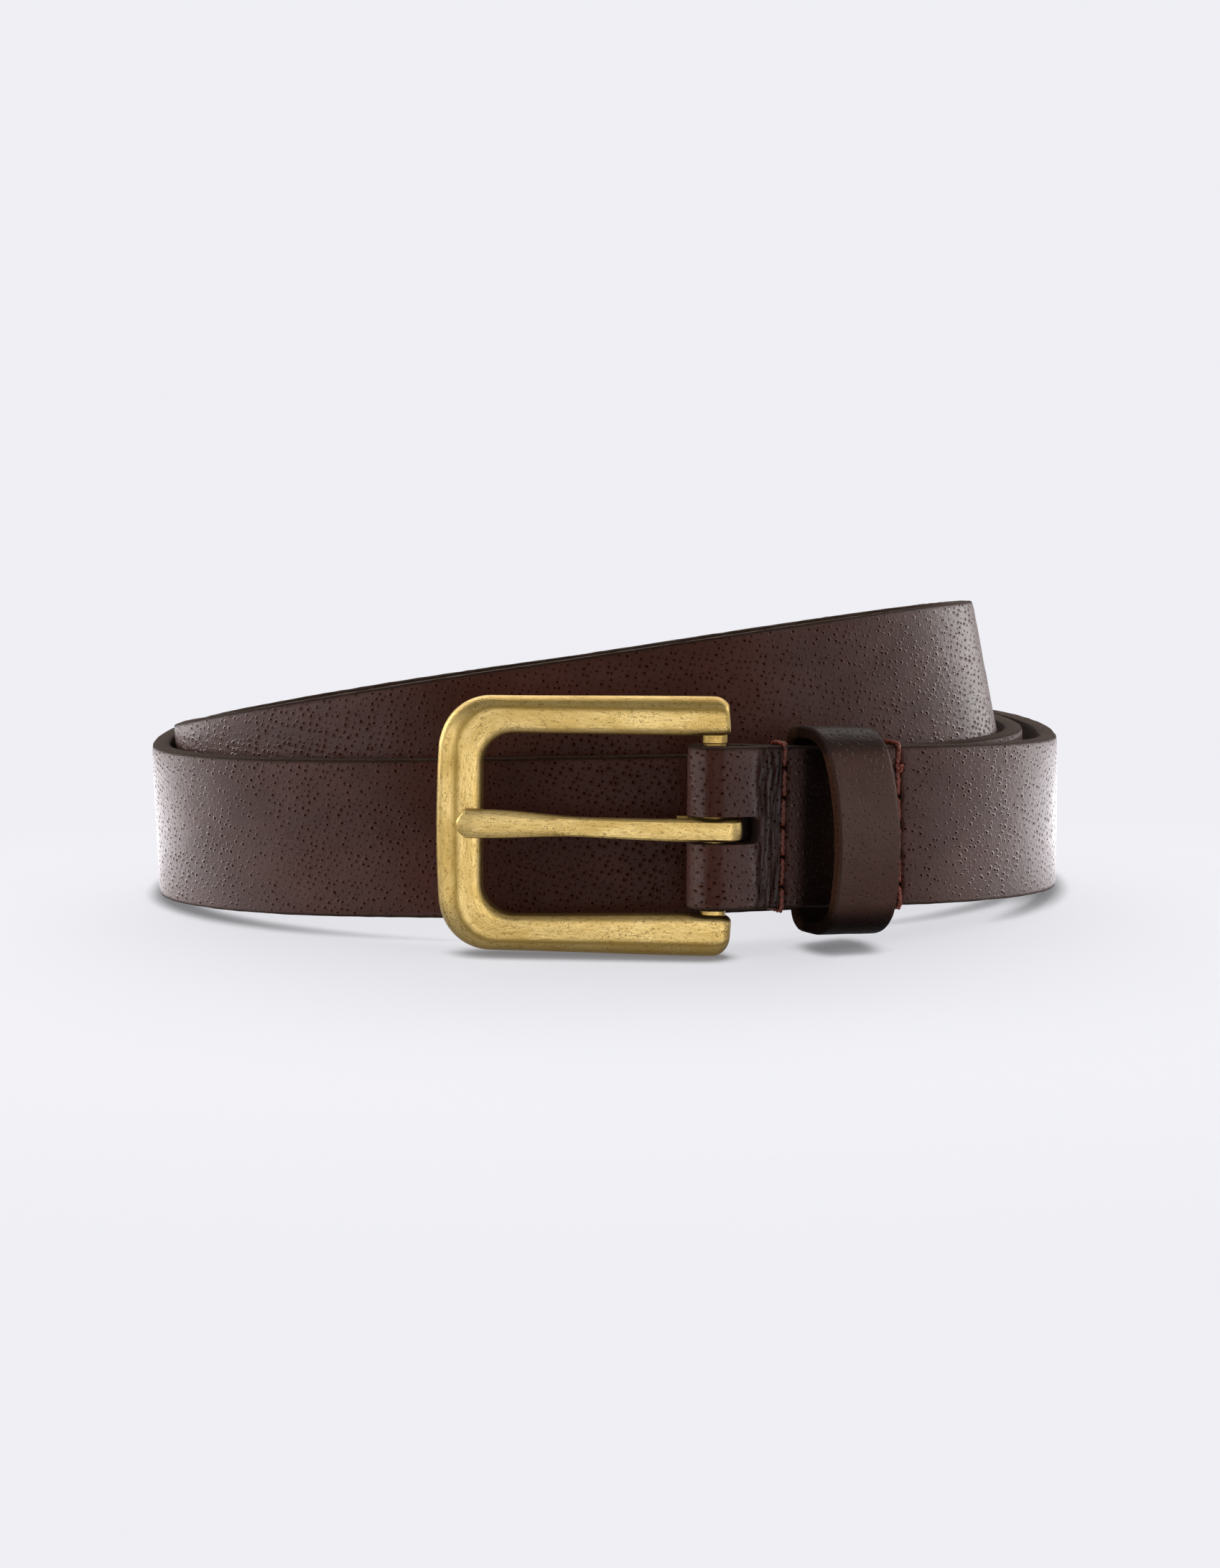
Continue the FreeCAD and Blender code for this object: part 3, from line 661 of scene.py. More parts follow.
def make_strap():
    """The strap's mesh: two faces with the openings left out, rounded edges, wear marks, and a painted
    shade where the keeper covers it.
    """
    rows = strip_rows()
    columns = strip_columns()
    u_path, (middles, grains, acrosses, thicknesses) = strip_sections()
    m, n = len(rows), len(columns)
    u = np.repeat(rows[:, None], n, 1)
    h = np.repeat(columns[None, :], m, 0)
    dropped = np.zeros((m - 1, n - 1), bool)
    for i in range(m - 1):
        s, folded = own_distance((rows[i] + rows[i + 1]) / 2)
        near_work = s < SLOT_END + 3 or abs(s - OUTER_SEAM) < 2 or s > HOLES_START or s < 16
        if not near_work:
            continue
        for j in range(n - 1):
            hc = (columns[j] + columns[j + 1]) / 2
            dropped[i, j] = hole_outline(s, hc, folded)[0] < 0 or in_slit(s, hc)
    for i in range(m):
        s, folded = own_distance(rows[i])
        if not (s < SLOT_END + 1 or s > HOLES_START):
            continue
        for j in range(n):
            around = [dropped[a, b] for a in (i - 1, i) for b in (j - 1, j)
                      if 0 <= a < m - 1 and 0 <= b < n - 1]
            if any(around) and not all(around):
                room, s_new, h_new = hole_outline(s, columns[j], folded)
                u[i, j] += (s_new - s) if rows[i] >= 0 else (s - s_new)
                h[i, j] = h_new
    # The leather round the outer seam is set over, so that its slits follow the slant.
    own = np.where(u >= 0, u, -u - FOLD_RUN)
    slant = seam_line(OUTER_SEAM, h) - OUTER_SEAM
    slant = slant * np.exp(-((own - OUTER_SEAM) / 3.0) ** 2) * np.where(u >= 0, 1, -1)
    to_tip = BELT_LENGTH - u
    narrow = np.sqrt(1 - np.clip(1 - to_tip / TIP_LENGTH, 0, 0.999) ** 2.4)
    edge_in = STRAP_WIDTH / 2 - FACE_EDGE
    middle = look_up(u + slant, u_path, middles)
    grain = unit(look_up(u + slant, u_path, grains))
    across = unit(look_up(u + slant, u_path, acrosses))
    half_thick = np.interp(u + slant, u_path, thicknesses)[..., None] / 2
    w = h * narrow
    proud = relief(u, h) * np.clip((15.0 - np.abs(h)) / 1.2, 0, 1)
    crown = -0.12 * (np.abs(h) / FACE_EDGE) ** 24
    front = middle + across * w[..., None] + grain * (half_thick + (proud + crown)[..., None])
    rough = lattice_noise(u * 0.8, h * 0.8, 12) * 0.06
    back = middle + across * w[..., None] - grain * (half_thick - rough[..., None])
    # Each long edge is a rounded strip of points between the two faces.
    steps = 7
    edges = []
    for side, column in ((1, n - 1), (-1, 0)):
        for k in range(1, steps + 1):
            angle = math.pi * k / (steps + 1)
            swing = math.cos(angle) * 0.97
            reach = FACE_EDGE * narrow[:, column] + edge_in * math.sin(angle) ** 0.3
            fray = lattice_noise(rows * 0.9, np.full(m, k * 0.8 + side * 9), 14) * 0.08
            reach = reach * np.clip(to_tip[:, column] / 0.6, 0.3, 1) + fray
            edges.append(middle[:, column] + across[:, column] * (side * reach)[:, None]
                         + grain[:, column] * half_thick[:, column] * swing)
    points = []
    place = []
    raw = []
    crease = []
    stitched_and_shade = []

    def add(grid, values, rawness, creased, seams=(0.0, 0.0, 0.0)):
        start = len(points)
        points.extend(grid.reshape(-1, 3).tolist())
        place.extend(values.reshape(-1, 3).tolist())
        raw.extend(np.broadcast_to(rawness, grid.shape[:-1]).ravel().tolist())
        crease.extend(np.broadcast_to(creased, grid.shape[:-1]).ravel().tolist())
        stitched_and_shade.extend(np.broadcast_to(seams, grid.shape).reshape(-1, 3).tolist())
        return start

    zero = np.zeros_like(u)
    crushed = crush(u, h) * (0.75 + 0.25 * lattice_noise(u, h * 0.5, 21))
    groove, holes = stitch_rows(u, h)
    slot_room = np.maximum(np.abs(u) - SLOT_END, np.abs(h + SLOT_DROP) - SLOT_HALF)
    slot_rim = np.exp(-(slot_room / 0.45) ** 2) * (np.abs(u) < SLOT_END + 1) * (u > 0)
    # Painted shade: from SHADE_START to SHADE_END the strap is coloured almost black where the keeper
    # shades it; it stays put when the keeper slides.
    painted_keeper_shade = ease((u - SHADE_START) / 3.0) * (1 - ease((u - SHADE_END) / 5.0))
    # The stitched mark holds the seam grooves with the slot rim, then the needle holes, and this painted
    # shade as its third channel.
    worked = np.stack([np.maximum(groove * (1 - holes), slot_rim), holes, painted_keeper_shade], -1)
    front_start = add(front, np.stack([u, h, zero], -1),
                      0.35 * ease((np.abs(h) - 13.9) / 0.6), crushed, worked)
    back_start = add(back, np.stack([u, h + 60, zero], -1), 0.9, 0.0)
    edge_start = []
    for k, edge in enumerate(edges):
        values = np.stack([rows, np.full(m, 90.0 + k * 0.6), np.zeros(m)], -1)
        edge_start.append(add(edge, values, 1.0, 0.0))

    def at(start, i, j):
        return start + i * n + j

    faces = []
    for i in range(m - 1):
        for j in range(n - 1):
            if dropped[i, j]:
                continue
            a, b, c, d = (at(0, i, j), at(0, i + 1, j), at(0, i + 1, j + 1), at(0, i, j + 1))
            faces.append((a, b, c, d))
            faces.append((d + back_start, c + back_start, b + back_start, a + back_start))
            for di, dj, p, q in ((-1, 0, a, d), (0, 1, d, c), (1, 0, c, b), (0, -1, b, a)):
                ii, jj = i + di, j + dj
                if 0 <= ii < m - 1 and 0 <= jj < n - 1 and dropped[ii, jj]:
                    faces.append((q, p, p + back_start, q + back_start))
    for side, column in ((0, n - 1), (1, 0)):
        chain = [front_start + column] + edge_start[side * steps:(side + 1) * steps]
        chain.append(back_start + column)
        strides = [n] + [1] * steps + [n]
        for i in range(m - 1):
            for k in range(len(chain) - 1):
                p = chain[k] + i * strides[k]
                q = chain[k] + (i + 1) * strides[k]
                r = chain[k + 1] + (i + 1) * strides[k + 1]
                t = chain[k + 1] + i * strides[k + 1]
                faces.append((p, q, r, t) if side == 0 else (t, r, q, p))
    for i in (0, m - 1):
        rim = [at(front_start, i, j) for j in range(n)]
        rim += [start + i for start in edge_start[:steps]]
        rim += [at(back_start, i, j) for j in range(n - 1, -1, -1)]
        rim += [start + i for start in edge_start[:steps - 1:-1]]
        faces.append(tuple(rim) if i == 0 else tuple(rim[::-1]))
    used = sorted({v for face in faces for v in face})
    index = {v: k for k, v in enumerate(used)}
    faces = [tuple(index[v] for v in face) for face in faces]
    pick = np.array(used)
    marks = {"place": np.array(place)[pick], "raw": np.array(raw)[pick],
             "crease": np.array(crease)[pick], "stitched_and_shade": np.array(stitched_and_shade)[pick]}
    piece = new_piece("belt_strap", np.array(points)[pick], faces, "strap",
                      BELT_LEATHER, marks, 50.0)
    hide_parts("strap")
    return piece


make_strap()

# ---------------- keeper

KEEPER_WIDTH = 12.6
KEEPER_THICKNESS = 2.4
KEEPER_START = 16.2
KEEPER_SKEW = math.radians(7.0)
KEEPER_DROP = 0.5
KEEPER_HALF = 18.1
HEEL = 3.0
WALL_TOP = 3.0
SHOULDER = 7.8
SHOULDER_TURN = math.radians(70.0)
KEEPER_LEAN = 0.063
KEEPER_SHIFT = 0.35


def keeper_line(spacing=0.5):
    """Middle line of the keeper's leather from behind the strap round to behind it again:
    (height, outward) pairs."""
    base = -(STRAP_THICKNESS + KEEPER_POCKET) / 2
    half = []

    def arc(cx, cy, radius, start, stop):
        count = max(3, int(abs(stop - start) * radius / spacing) + 1)
        for a in np.linspace(start, stop, count):
            half.append((cx + radius * math.cos(a), cy + radius * math.sin(a)))

    for x in np.linspace(0.2, KEEPER_HALF - HEEL, 26):
        half.append((x, base))
    arc(KEEPER_HALF - HEEL, base + HEEL, HEEL, -math.pi / 2, 0)
    arc(KEEPER_HALF - SHOULDER, WALL_TOP, SHOULDER, 0, SHOULDER_TURN)
    end_x, end_y = half[-1]
    radius = end_x / math.cos(SHOULDER_TURN)
    centre = end_y - radius * math.sin(SHOULDER_TURN)
    arc(0.0, centre, radius, SHOULDER_TURN, math.pi / 2)
    half = [p for k, p in enumerate(half) if k == 0 or math.dist(p, half[k - 1]) > 1e-3]
    line = half + [(-x, y) for x, y in half[-2::-1]]
    return np.array(line)


def make_keeper():
    """The keeper's strip swept round its loop, leaning a little as it sits on the strap."""
    line = smoothed(keeper_line(), 2)
    tangent = unit(np.gradient(line, axis=0))
    normal = np.stack([tangent[:, 1], -tangent[:, 0]], -1)
    run = run_along(line)
    half_w = KEEPER_WIDTH / 2
    half_t = KEEPER_THICKNESS / 2
    profile = []
    rawness = []
    for x in np.linspace(-half_w + 0.7, half_w - 0.7, 15):
        profile.append((x, half_t - 0.05 * (x / half_w) ** 4))
        rawness.append(0.0)
    rim = [(half_w - 0.28, half_t - 0.14), (half_w - 0.05, half_t - 0.55), (half_w, 0.0),
           (half_w - 0.05, -half_t + 0.5), (half_w - 0.3, -half_t + 0.1)]
    profile += rim
    rawness += [0.5, 1.0, 1.0, 1.0, 1.0]
    for x in np.linspace(half_w - 0.8, -half_w + 0.8, 11):
        profile.append((x, -half_t))
        rawness.append(0.85)
    profile += [(-x, t) for x, t in rim[::-1]]
    rawness += [1.0, 1.0, 1.0, 1.0, 0.5]
    profile = np.array(profile)
    rawness = np.array(rawness)
    girth = run_along(profile)
    origin, along, outward, across = on_strap(KEEPER_START + KEEPER_WIDTH / 2)
    origin = origin - across * KEEPER_DROP
    rings = []
    place = []
    for k, (point, out) in enumerate(zip(line, normal)):
        x = profile[:, 0]
        lift = profile[:, 1]
        lift = lift + lattice_noise(np.full_like(x, run[k] * .3), x * .3 + 50, 31) * .05
        edge = lattice_noise(np.full_like(x, run[k] * 1.1), lift * .8, 33) * .06 * rawness
        x = x + edge * np.sign(x)
        high = point[0] + out[0] * lift
        depth = point[1] + out[1] * lift
        x = x - KEEPER_LEAN * high - KEEPER_SHIFT
        ring = (origin + along * (x + depth * math.sin(KEEPER_SKEW))[:, None]
                + outward * (depth * math.cos(KEEPER_SKEW))[:, None] + across * high[:, None])
        rings.append(ring)
        place.append(np.stack([np.full_like(x, run[k]), girth + 200, x * 0], -1))
    points, faces = sweep(np.array(rings))
    # Painted shade, as the third channel of the stitched mark: the keeper's inner face, and at the front
    # its lower bend and more lightly its upper bend, are coloured towards black.
    inside = np.tile((rawness > 0.8) & (rawness < 0.9), len(rings)) * 0.9
    under = ease((-line[:, 0] - 11.5) / 4.5)
    over = ease((line[:, 0] - 13.0) / 3.0) * 0.8
    under = np.repeat(np.maximum(under, over) * (line[:, 1] > 0), len(rawness))
    none = np.zeros(len(points))
    marks = {"place": np.concatenate(place), "raw": np.tile(rawness, len(rings)), "crease": none,
             "stitched_and_shade": np.stack([none, none, np.maximum(inside, under)], -1)}
    piece = new_piece("keeper_band", points, faces, "keeper", KEEPER_LEATHER, marks, 50.0)
    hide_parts("keeper_loop")


make_keeper()

# ---------------- buckle

FRAME_LENGTH = 54.2
FRAME_HALF = 23.6
FRAME_THICKNESS = 4.5
FRAME_FRONT = 3.4
RAIL_WIDTH = 8.6
ARM_WIDTH = 6.8
ARM_OVERRUN = 2.9
SWING = math.radians(27.0)
OUTER_CORNER = 9.5
INNER_CORNER = 6.0
END_BOW = 0.6                   # how far the closed end bows
UPPER_ARM_SHORT = 0.5
LUG_RADIUS = 2.3
PRONG_REACH = 47.0
PRONG_THICKNESS = 2.2
PRONG_HALF = 1.8
PRONG_TIP_HALF = 0.95
PRONG_TIP_LENGTH = 1.7
ARM_END = 3.0                   # length over which an arm's free end is rounded


def buckle_axes():
    origin, along, outward, across = on_strap(0.0)
    bar = origin - outward * BAR_DEPTH
    x_axis = along * math.cos(SWING) + outward * math.sin(SWING)
    y_axis = along * math.sin(SWING) - outward * math.cos(SWING)
    return bar, x_axis, y_axis, across


BAR, BX, BY, BZ = buckle_axes()


def on_buckle(points):
    points = np.asarray(points, float)
    return (BAR + points[..., :1] * BX + points[..., 1:2] * BY + points[..., 2:3] * BZ)


def frame_outline():
    """Matching outer and inner points round the C, and how much each one is rail or arm."""
    left = ARM_OVERRUN - FRAME_LENGTH
    inner_left = left + RAIL_WIDTH
    inner_half = FRAME_HALF - ARM_WIDTH
    outer = []
    inner = []
    rail = []
    bend_x = left + OUTER_CORNER
    inner_bend_x = inner_left + INNER_CORNER
    arm = np.concatenate([ARM_OVERRUN - 3.0 * (1 - np.cos(np.linspace(0, math.pi / 2, 10))),
                          np.linspace(ARM_OVERRUN - 6, bend_x + 3, 14)])
    for x in arm:
        outer.append((x, FRAME_HALF))
        inner.append((max(x, inner_bend_x + (x - bend_x) * 0.9), inner_half))
        rail.append(0.0)
    for a in np.linspace(0, math.pi / 2, 19):
        outer.append((bend_x - OUTER_CORNER * math.sin(a), FRAME_HALF - OUTER_CORNER * (1 - math.cos(a))))
        inner.append((inner_bend_x - INNER_CORNER * math.sin(a),
                      inner_half - INNER_CORNER * (1 - math.cos(a))))
        rail.append(a / (math.pi / 2))
    for share in np.linspace(0, 1, 9)[1:-1]:
        outer.append((left, (FRAME_HALF - OUTER_CORNER) * (1 - 2 * share)))
        inner.append((inner_left, (inner_half - INNER_CORNER) * (1 - 2 * share)))
        rail.append(1.0)
    half = len(arm) + 19
    outer += [(x, -z) for x, z in outer[:half][::-1]]
    inner += [(x, -z) for x, z in inner[:half][::-1]]
    rail += rail[:half][::-1]
    outer = np.array(outer)
    inner = np.array(inner)
    bow = END_BOW * np.clip(np.abs(outer[:, 1]) / 17.0, 0, 1) ** 2
    outer[:, 0] += bow * ease((-28.0 - outer[:, 0]) / 16.0)
    widen = ease((outer[:, 0] + 42.0) / 40.0)
    low = outer[:, 1] < 0
    outer[:, 1] += np.where(low, -0.30, 0.30) * widen
    inner[:, 1] += np.where(low, 0.70, 0.0) * widen
    return outer, inner, np.array(rail)


def make_frame():
    """The brass C of the buckle with its worn bevels, and the bar between its arms."""
    outer, inner, rail = frame_outline()
    centre = (outer + inner) / 2
    run = run_along(centre)
    back = FRAME_THICKNESS
    rings = []
    place = []
    tarnish_and_shade = []
    for line in (outer, inner):
        line[:, 0] -= UPPER_ARM_SHORT * (line[:, 1] > 0) * ease((line[:, 0] + 10.0) / 10.0)
    for k in range(len(outer)):
        o = outer[k]
        i = inner[k]
        width = np.linalg.norm(o - i)
        # Cross-section from the outer edge over the front to the inner edge and round the
        # back: (millimetres from the outer edge, depth behind the front face, tarnish and painted shade).
        slope = 2.3 + 1.6 * rail[k]
        rise = 1.25 + 0.35 * rail[k]
        # Painted shade: on the arms, not the rail, the outer bevel is darkened through the tarnish mark.
        painted_bevel_shade = 0.8 * (1 - rail[k])
        section = [(0.25, 3.9, .4), (0.0, 3.2, .3), (0.0, 2.4, .2 + painted_bevel_shade),
                   (0.28, rise + .42, .1 + painted_bevel_shade), (0.75, rise * .80, .05 + painted_bevel_shade),
                   (slope * .45, rise * .58, .1 + painted_bevel_shade * .6),
                   (slope * .75, rise * .32, .25), (slope * .94, rise * .16, .75),
                   (slope + .12, .13, .9), (slope + .35, .06, .5), (slope + .75, .01, .15)]
        flat = np.linspace(slope + 1.2, width - 1.3, 6)
        section += [(v, 0.05 * ((v - flat.mean()) / 2.0) ** 2, 0.0) for v in flat]
        section += [(width - .85, .16, .05), (width - .42, .42, .15), (width - .12, .85, .3),
                    (width, 1.4, .5), (width, 2.6, .8), (width, 3.7, .9),
                    (width - .3, 4.25, .6), (width - .9, back, .5), (width * .66, back, .3),
                    (width * .33, back, .3), (1.0, back, .4), (0.45, 4.25, .4)]
        section = np.array(section)
        v = section[:, 0]
        depth = section[:, 1]
        # The free ends of the arms are rounded off, in outline and at the front and back.
        to_end = ARM_OVERRUN - o[0]
        if to_end < ARM_END:
            shrink = 1 - math.sqrt(max(0.0, 1 - (1 - to_end / ARM_END) ** 2))
            v = v + (width * 0.5 - v) * shrink * np.where(v < width / 2, .86, .42)
            soft = 1 - math.sqrt(max(0.0, 1 - max(0.0, 1 - to_end / 1.5) ** 2))
            depth = depth + (2.6 - depth) * soft * .62
        side = (i - o) / width
        spots = o + side * v[:, None]
        rings.append(np.stack([spots[:, 0], depth - FRAME_FRONT, spots[:, 1]], -1))
        place.append(np.stack([np.full_like(v, run[k]), np.arange(len(v)) * 0.45 + 20, v * 0], -1))
        tarnish_and_shade.append(section[:, 2])
    points, faces = sweep(np.array(rings))
    size = len(rings[0])
    places = [np.concatenate(place)]
    tarnishes_and_shade = [np.concatenate(tarnish_and_shade)]
    all_points = [points]
    # The bar, with a squared, chamfered lug where it meets each arm.
    opening = FRAME_HALF - ARM_WIDTH
    lug = [(-opening - 1.5, LUG_RADIUS, .5), (-opening + 1.3, LUG_RADIUS, .5),
           (-opening + 1.5, BAR_RADIUS, 0)]
    spots = [(z, BAR_RADIUS, 0) for z in np.linspace(-opening + 1.8, opening - 1.8, 9)]
    spots = lug + spots + [(-z, *rest) for z, *rest in lug[::-1]]
    rings = []
    for z, radius, square in spots:
        a = np.linspace(0, 2 * math.pi, 33)[:-1] + math.pi / 32
        blunt = (np.abs(np.cos(a)) ** 4 + np.abs(np.sin(a)) ** 4) ** (-0.25)
        r = radius * (1 + (blunt - 1) * square * 1.5)
        rings.append(np.stack([r * np.cos(a), r * np.sin(a), np.full_like(a, z)], -1))
    bar_points, bar_faces = sweep(np.array(rings))
    start = len(points)
    faces += [tuple(v + start for v in face) for face in bar_faces]
    all_points.append(bar_points)
    places.append(np.stack([bar_points[:, 2], np.arctan2(bar_points[:, 1], bar_points[:, 0]) * 2,
                            bar_points[:, 0] * 0], -1))
    tarnishes_and_shade.append(np.full(len(bar_points), 0.5))
    marks = {"place": np.concatenate(places), "tarnish_and_shade": np.concatenate(tarnishes_and_shade)}
    piece = new_piece("buckle_casting", on_buckle(np.concatenate(all_points)), faces,
                      "buckle_frame", BRASS, marks, 40.0)
    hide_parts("buckle_frame")


make_frame()


def rounded_line(corners, spacing):
    """Points along a line of (x, y, radius) corners, evenly spaced."""
    points = []
    for k, (x, y, radius) in enumerate(corners):
        here = np.array([x, y])
        if k in (0, len(corners) - 1) or radius == 0:
            points.append(here)
            continue
        before = unit(np.array(corners[k - 1][:2]) - here)
        after = unit(np.array(corners[k + 1][:2]) - here)
        half = math.acos(np.clip(before @ after, -1, 1)) / 2
        reach = radius / math.tan(half)
        centre = here + unit(before + after) * radius / math.sin(half)
        a = here + before * reach - centre
        b = here + after * reach - centre
        for share in np.linspace(0, 1, 12):
            spot = a * (1 - share) + b * share
            points.append(centre + unit(spot) * radius)
    points = np.array(points)
    run = run_along(points)
    even = np.linspace(0, run[-1], max(2, int(run[-1] / spacing)))
    return look_up(even, run, points)


def make_prong():
    """Flat bar curled round the buckle's bar: a squared heel, and a faceted, flared tip."""
    reach = PRONG_REACH
    face = -FRAME_FRONT - 0.05 - PRONG_THICKNESS
    rest = face + PRONG_THICKNESS
    outer = [(-reach, face + 1.05), (0.7 - reach, face + 0.42), (3.0 - reach, face),
             (-30.0, face), (-7.0, face), (-1.6, face), (2.4, face), (3.9, face + 0.1),
             (4.65, face + 0.75), (5.15, face + 1.6), (5.4, face + 2.7), (5.2, -0.9)]
    inner = [(-reach, rest - 0.55), (0.7 - reach, rest - 0.2), (3.0 - reach, rest),
             (-30.0, rest), (-7.0, rest + 0.3)]
    hole = BAR_RADIUS + FIT
    for a in (233, 275, 300, 315, 325, 335, 350):
        inner.append(polar(hole, a))
    for a in (10, 30, 50, 70, 90, 110, 130):
        out = 4.4 + 0.7 * (1 - ease((a - 10) / 50))
        outer.append(polar(out, a))
        inner.append(polar(hole, a))
    outer += [(-5.2, 3.2), (-7.1, 2.75)]
    inner += [(-4.4, 1.05), (-6.9, 1.15)]
    outer = np.array(outer)
    inner = np.array(inner)
    run = run_along(outer)
    even = np.concatenate([np.linspace(0, 4.8, 25), np.linspace(5.2, 40, 50),
                           np.linspace(40.6, run[-1], 96)])
    outer = smoothed(look_up(even, run, outer), 2)
    inner = smoothed(look_up(even, run, inner), 2)
    rings = []
    place = []
    tarnish_and_shade = []
    for k, (top, low) in enumerate(zip(outer, inner)):
        x = top[0] if even[k] < reach else 6.0
        along_tip = x + reach
        half = PRONG_HALF + 0.25 * np.clip((x + 24.0) / 18.0, 0, 1)
        if x < -24:
            half = PRONG_HALF + 0.85 * ease((-24.0 - x) / 18.0)
        centre = 0.6 * ease((-6.0 - x) / 34.0) - 0.4
        if along_tip < PRONG_TIP_LENGTH:
            share = max(along_tip, 0.0) / PRONG_TIP_LENGTH
            half = PRONG_TIP_HALF + (half - PRONG_TIP_HALF) * share ** 0.9
            centre = centre - 0.25 * (1 - share)
        heel = 0.55 * np.exp(-((even[k] - run[11] + 1.2) / 1.3) ** 2)
        half = half - 0.25 * heel
        # (share of the half width, share of the way down from the face, tarnish)
        section = [(-1, .92, .5), (-1, .34, .2), (-.93, .14, .0), (-.76, .03, .0),
                   (-.35, .0, .0), (0.0, -.01, .0), (.35, .0, .0), (.76, .03, .0),
                   (.93, .14, .0), (1, .34, .2), (1, .92, .5), (.88, 1.0, .6), (.4, 1.0, .6),
                   (-.4, 1.0, .6), (-.88, 1.0, .6)]
        section = np.array(section)
        down = section[:, 1][:, None]
        flat = top * (1 - down) + low * down
        if even[k] < 3.2:
            ridge = (1 - np.abs(section[:, 0])) * 0.30 * (1 - even[k] / 3.2)
            flat = flat - np.array([0.0, 1.0]) * (ridge * (section[:, 1] < .5))[:, None]
        z = centre + section[:, 0] * half
        rings.append(np.stack([flat[:, 0], flat[:, 1], z], -1))
        place.append(np.stack([np.full_like(z, even[k] + 300), z + section[:, 1] * 2 + 40, z * 0], -1))
        tarnish_and_shade.append(section[:, 2] + (0.0 if even[k] < 46 else 0.12))
    points, faces = sweep(np.array(rings))
    marks = {"place": np.concatenate(place), "tarnish_and_shade": np.concatenate(tarnish_and_shade)}
    piece = new_piece("prong_bar", on_buckle(points), faces, "prong", BRASS, marks, 32.0)
    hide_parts("prong")


make_prong()

# ---------------- threads

THREAD_RADIUS = 0.47
THREAD_SUNK = 0.32              # how deep the thread's middle line lies below the front face
KNOT_HEIGHT = 10.9
KNOT_LIFT = 0.32
KNOT_SIZE = 0.24
KNOT_THREAD = 0.26


def twisted_thread(name, node, seam, corners):
    """Two-ply thread through (height, inward) corners at one seam."""
    line = rounded_line(corners, 0.16)
    run = run_along(line)
    tangent = unit(np.gradient(line, axis=0))
    side = np.stack([-tangent[:, 1], tangent[:, 0]], -1)
    origin, along, outward, across = on_strap(seam)
    rings = []
    for k, spot in enumerate(line):
        a = np.linspace(0, 2 * math.pi, 17)[:-1]
        twist = run[k] * 2 * math.pi / 2.6
        r = THREAD_RADIUS * (0.84 + 0.16 * np.cos(2 * (a - twist)))
        r = r * (1 + 0.08 * lattice_noise(a * 2, np.full_like(a, run[k] * 2), 41))
        weave = 0.10 * lattice_noise(np.array(run[k] * .5), np.array(seam), 43)
        high = spot[0] + side[k, 0] * r * np.cos(a)
        inward = spot[1] + side[k, 1] * r * np.cos(a)
        sewn = seam_line(seam, spot[0]) - seam + weave
        rings.append(origin + along * (r * np.sin(a) + sewn)[:, None]
                     - outward * inward[:, None] + across * high[:, None])
    points, faces = sweep(np.array(rings))
    piece = new_piece(name, points, faces, "strap", THREAD, None, 60.0)
    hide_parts(node)


def make_threads():
    """Needle and bobbin threads of both seams, dipping into the leather at every stitch."""
    front = -STRAP_THICKNESS / 2 + THREAD_SUNK
    back_face = CLAMPED + TURNBACK_THICKNESS / 2
    tail = back_face - 0.05
    back = back_face - 0.02
    knot = back_face / 2 - STRAP_THICKNESS / 4
    edge = STRAP_WIDTH / 2 + 0.40

    def dips(face, depth):
        return [(h + side, place, 0.5) for h in STITCHES
                for side, place in ((-0.52, face), (-0.52, depth), (0.52, depth), (0.52, face))]

    for seam, word in zip(SEAMS, ("inner", "outer")):
        start = [(-13.0, tail, 0), (-edge, tail, 0.8), (-edge, front - 0.45, 0.8)]
        corners = start + dips(front, knot - .5) + [(-h, *rest) for h, *rest in start[::-1]]
        twisted_thread(word + "_needle", word + "_seam_needle_thread", seam, corners)
        ends = [(side * (STITCHES[-1] + 1.3), back + .1, 0) for side in (-1, 1)]
        corners = ends[:1] + dips(back, knot + .5) + ends[1:]
        twisted_thread(word + "_bobbin", word + "_seam_bobbin_thread", seam, corners)


def make_knot():
    """The small knot that ends the outer seam's thread, on the front by the upper edge."""
    origin, along, outward, across = on_strap(OUTER_SEAM)
    sewn = seam_line(OUTER_SEAM, KNOT_HEIGHT) - OUTER_SEAM
    lift = STRAP_THICKNESS / 2 + KNOT_LIFT
    centre = origin + along * sewn + outward * lift + across * KNOT_HEIGHT
    t = np.linspace(0.1, 2 * math.pi - 0.1, 64)
    loop = KNOT_SIZE * np.stack([np.sin(t) + 2 * np.sin(2 * t), -np.sin(3 * t),
                            np.cos(t) - 2 * np.cos(2 * t)], -1)
    tangent = unit(np.gradient(loop, axis=0))
    a = np.linspace(0, 2 * math.pi, 13)[:-1]
    rings = []
    for spot, ahead in zip(loop, tangent):
        aside = np.cross(ahead, (0.0, 1.0, 0.0))
        aside = aside / np.linalg.norm(aside)
        raised = np.cross(aside, ahead)
        ring = spot + KNOT_THREAD * (aside * np.cos(a)[:, None] + raised * np.sin(a)[:, None])
        rings.append(centre + along * ring[:, :1] + outward * ring[:, 1:2] + across * ring[:, 2:])
    points, faces = sweep(np.array(rings))
    new_piece("outer_knot", points, faces, "strap", THREAD, None, 60.0)


make_threads()
make_knot()

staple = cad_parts["keeper_staple"]
staple.data.materials.clear()
staple.data.materials.append(STAPLE)

# ---------------- room, light and camera

CAMERA_LIFT = math.radians(11.93)
CAMERA_ROLL = math.radians(-0.54)
CAMERA_AIM = Vector((1.07, 4.44, 20.78)) * MM
CAMERA_DISTANCE = 633.6 * MM
CAMERA_LENS = 72.68
SENSOR_HEIGHT = 36.0
BACKDROP = (0.862, 0.862, 0.905)
BRIGHTEST_SKY = 0.65


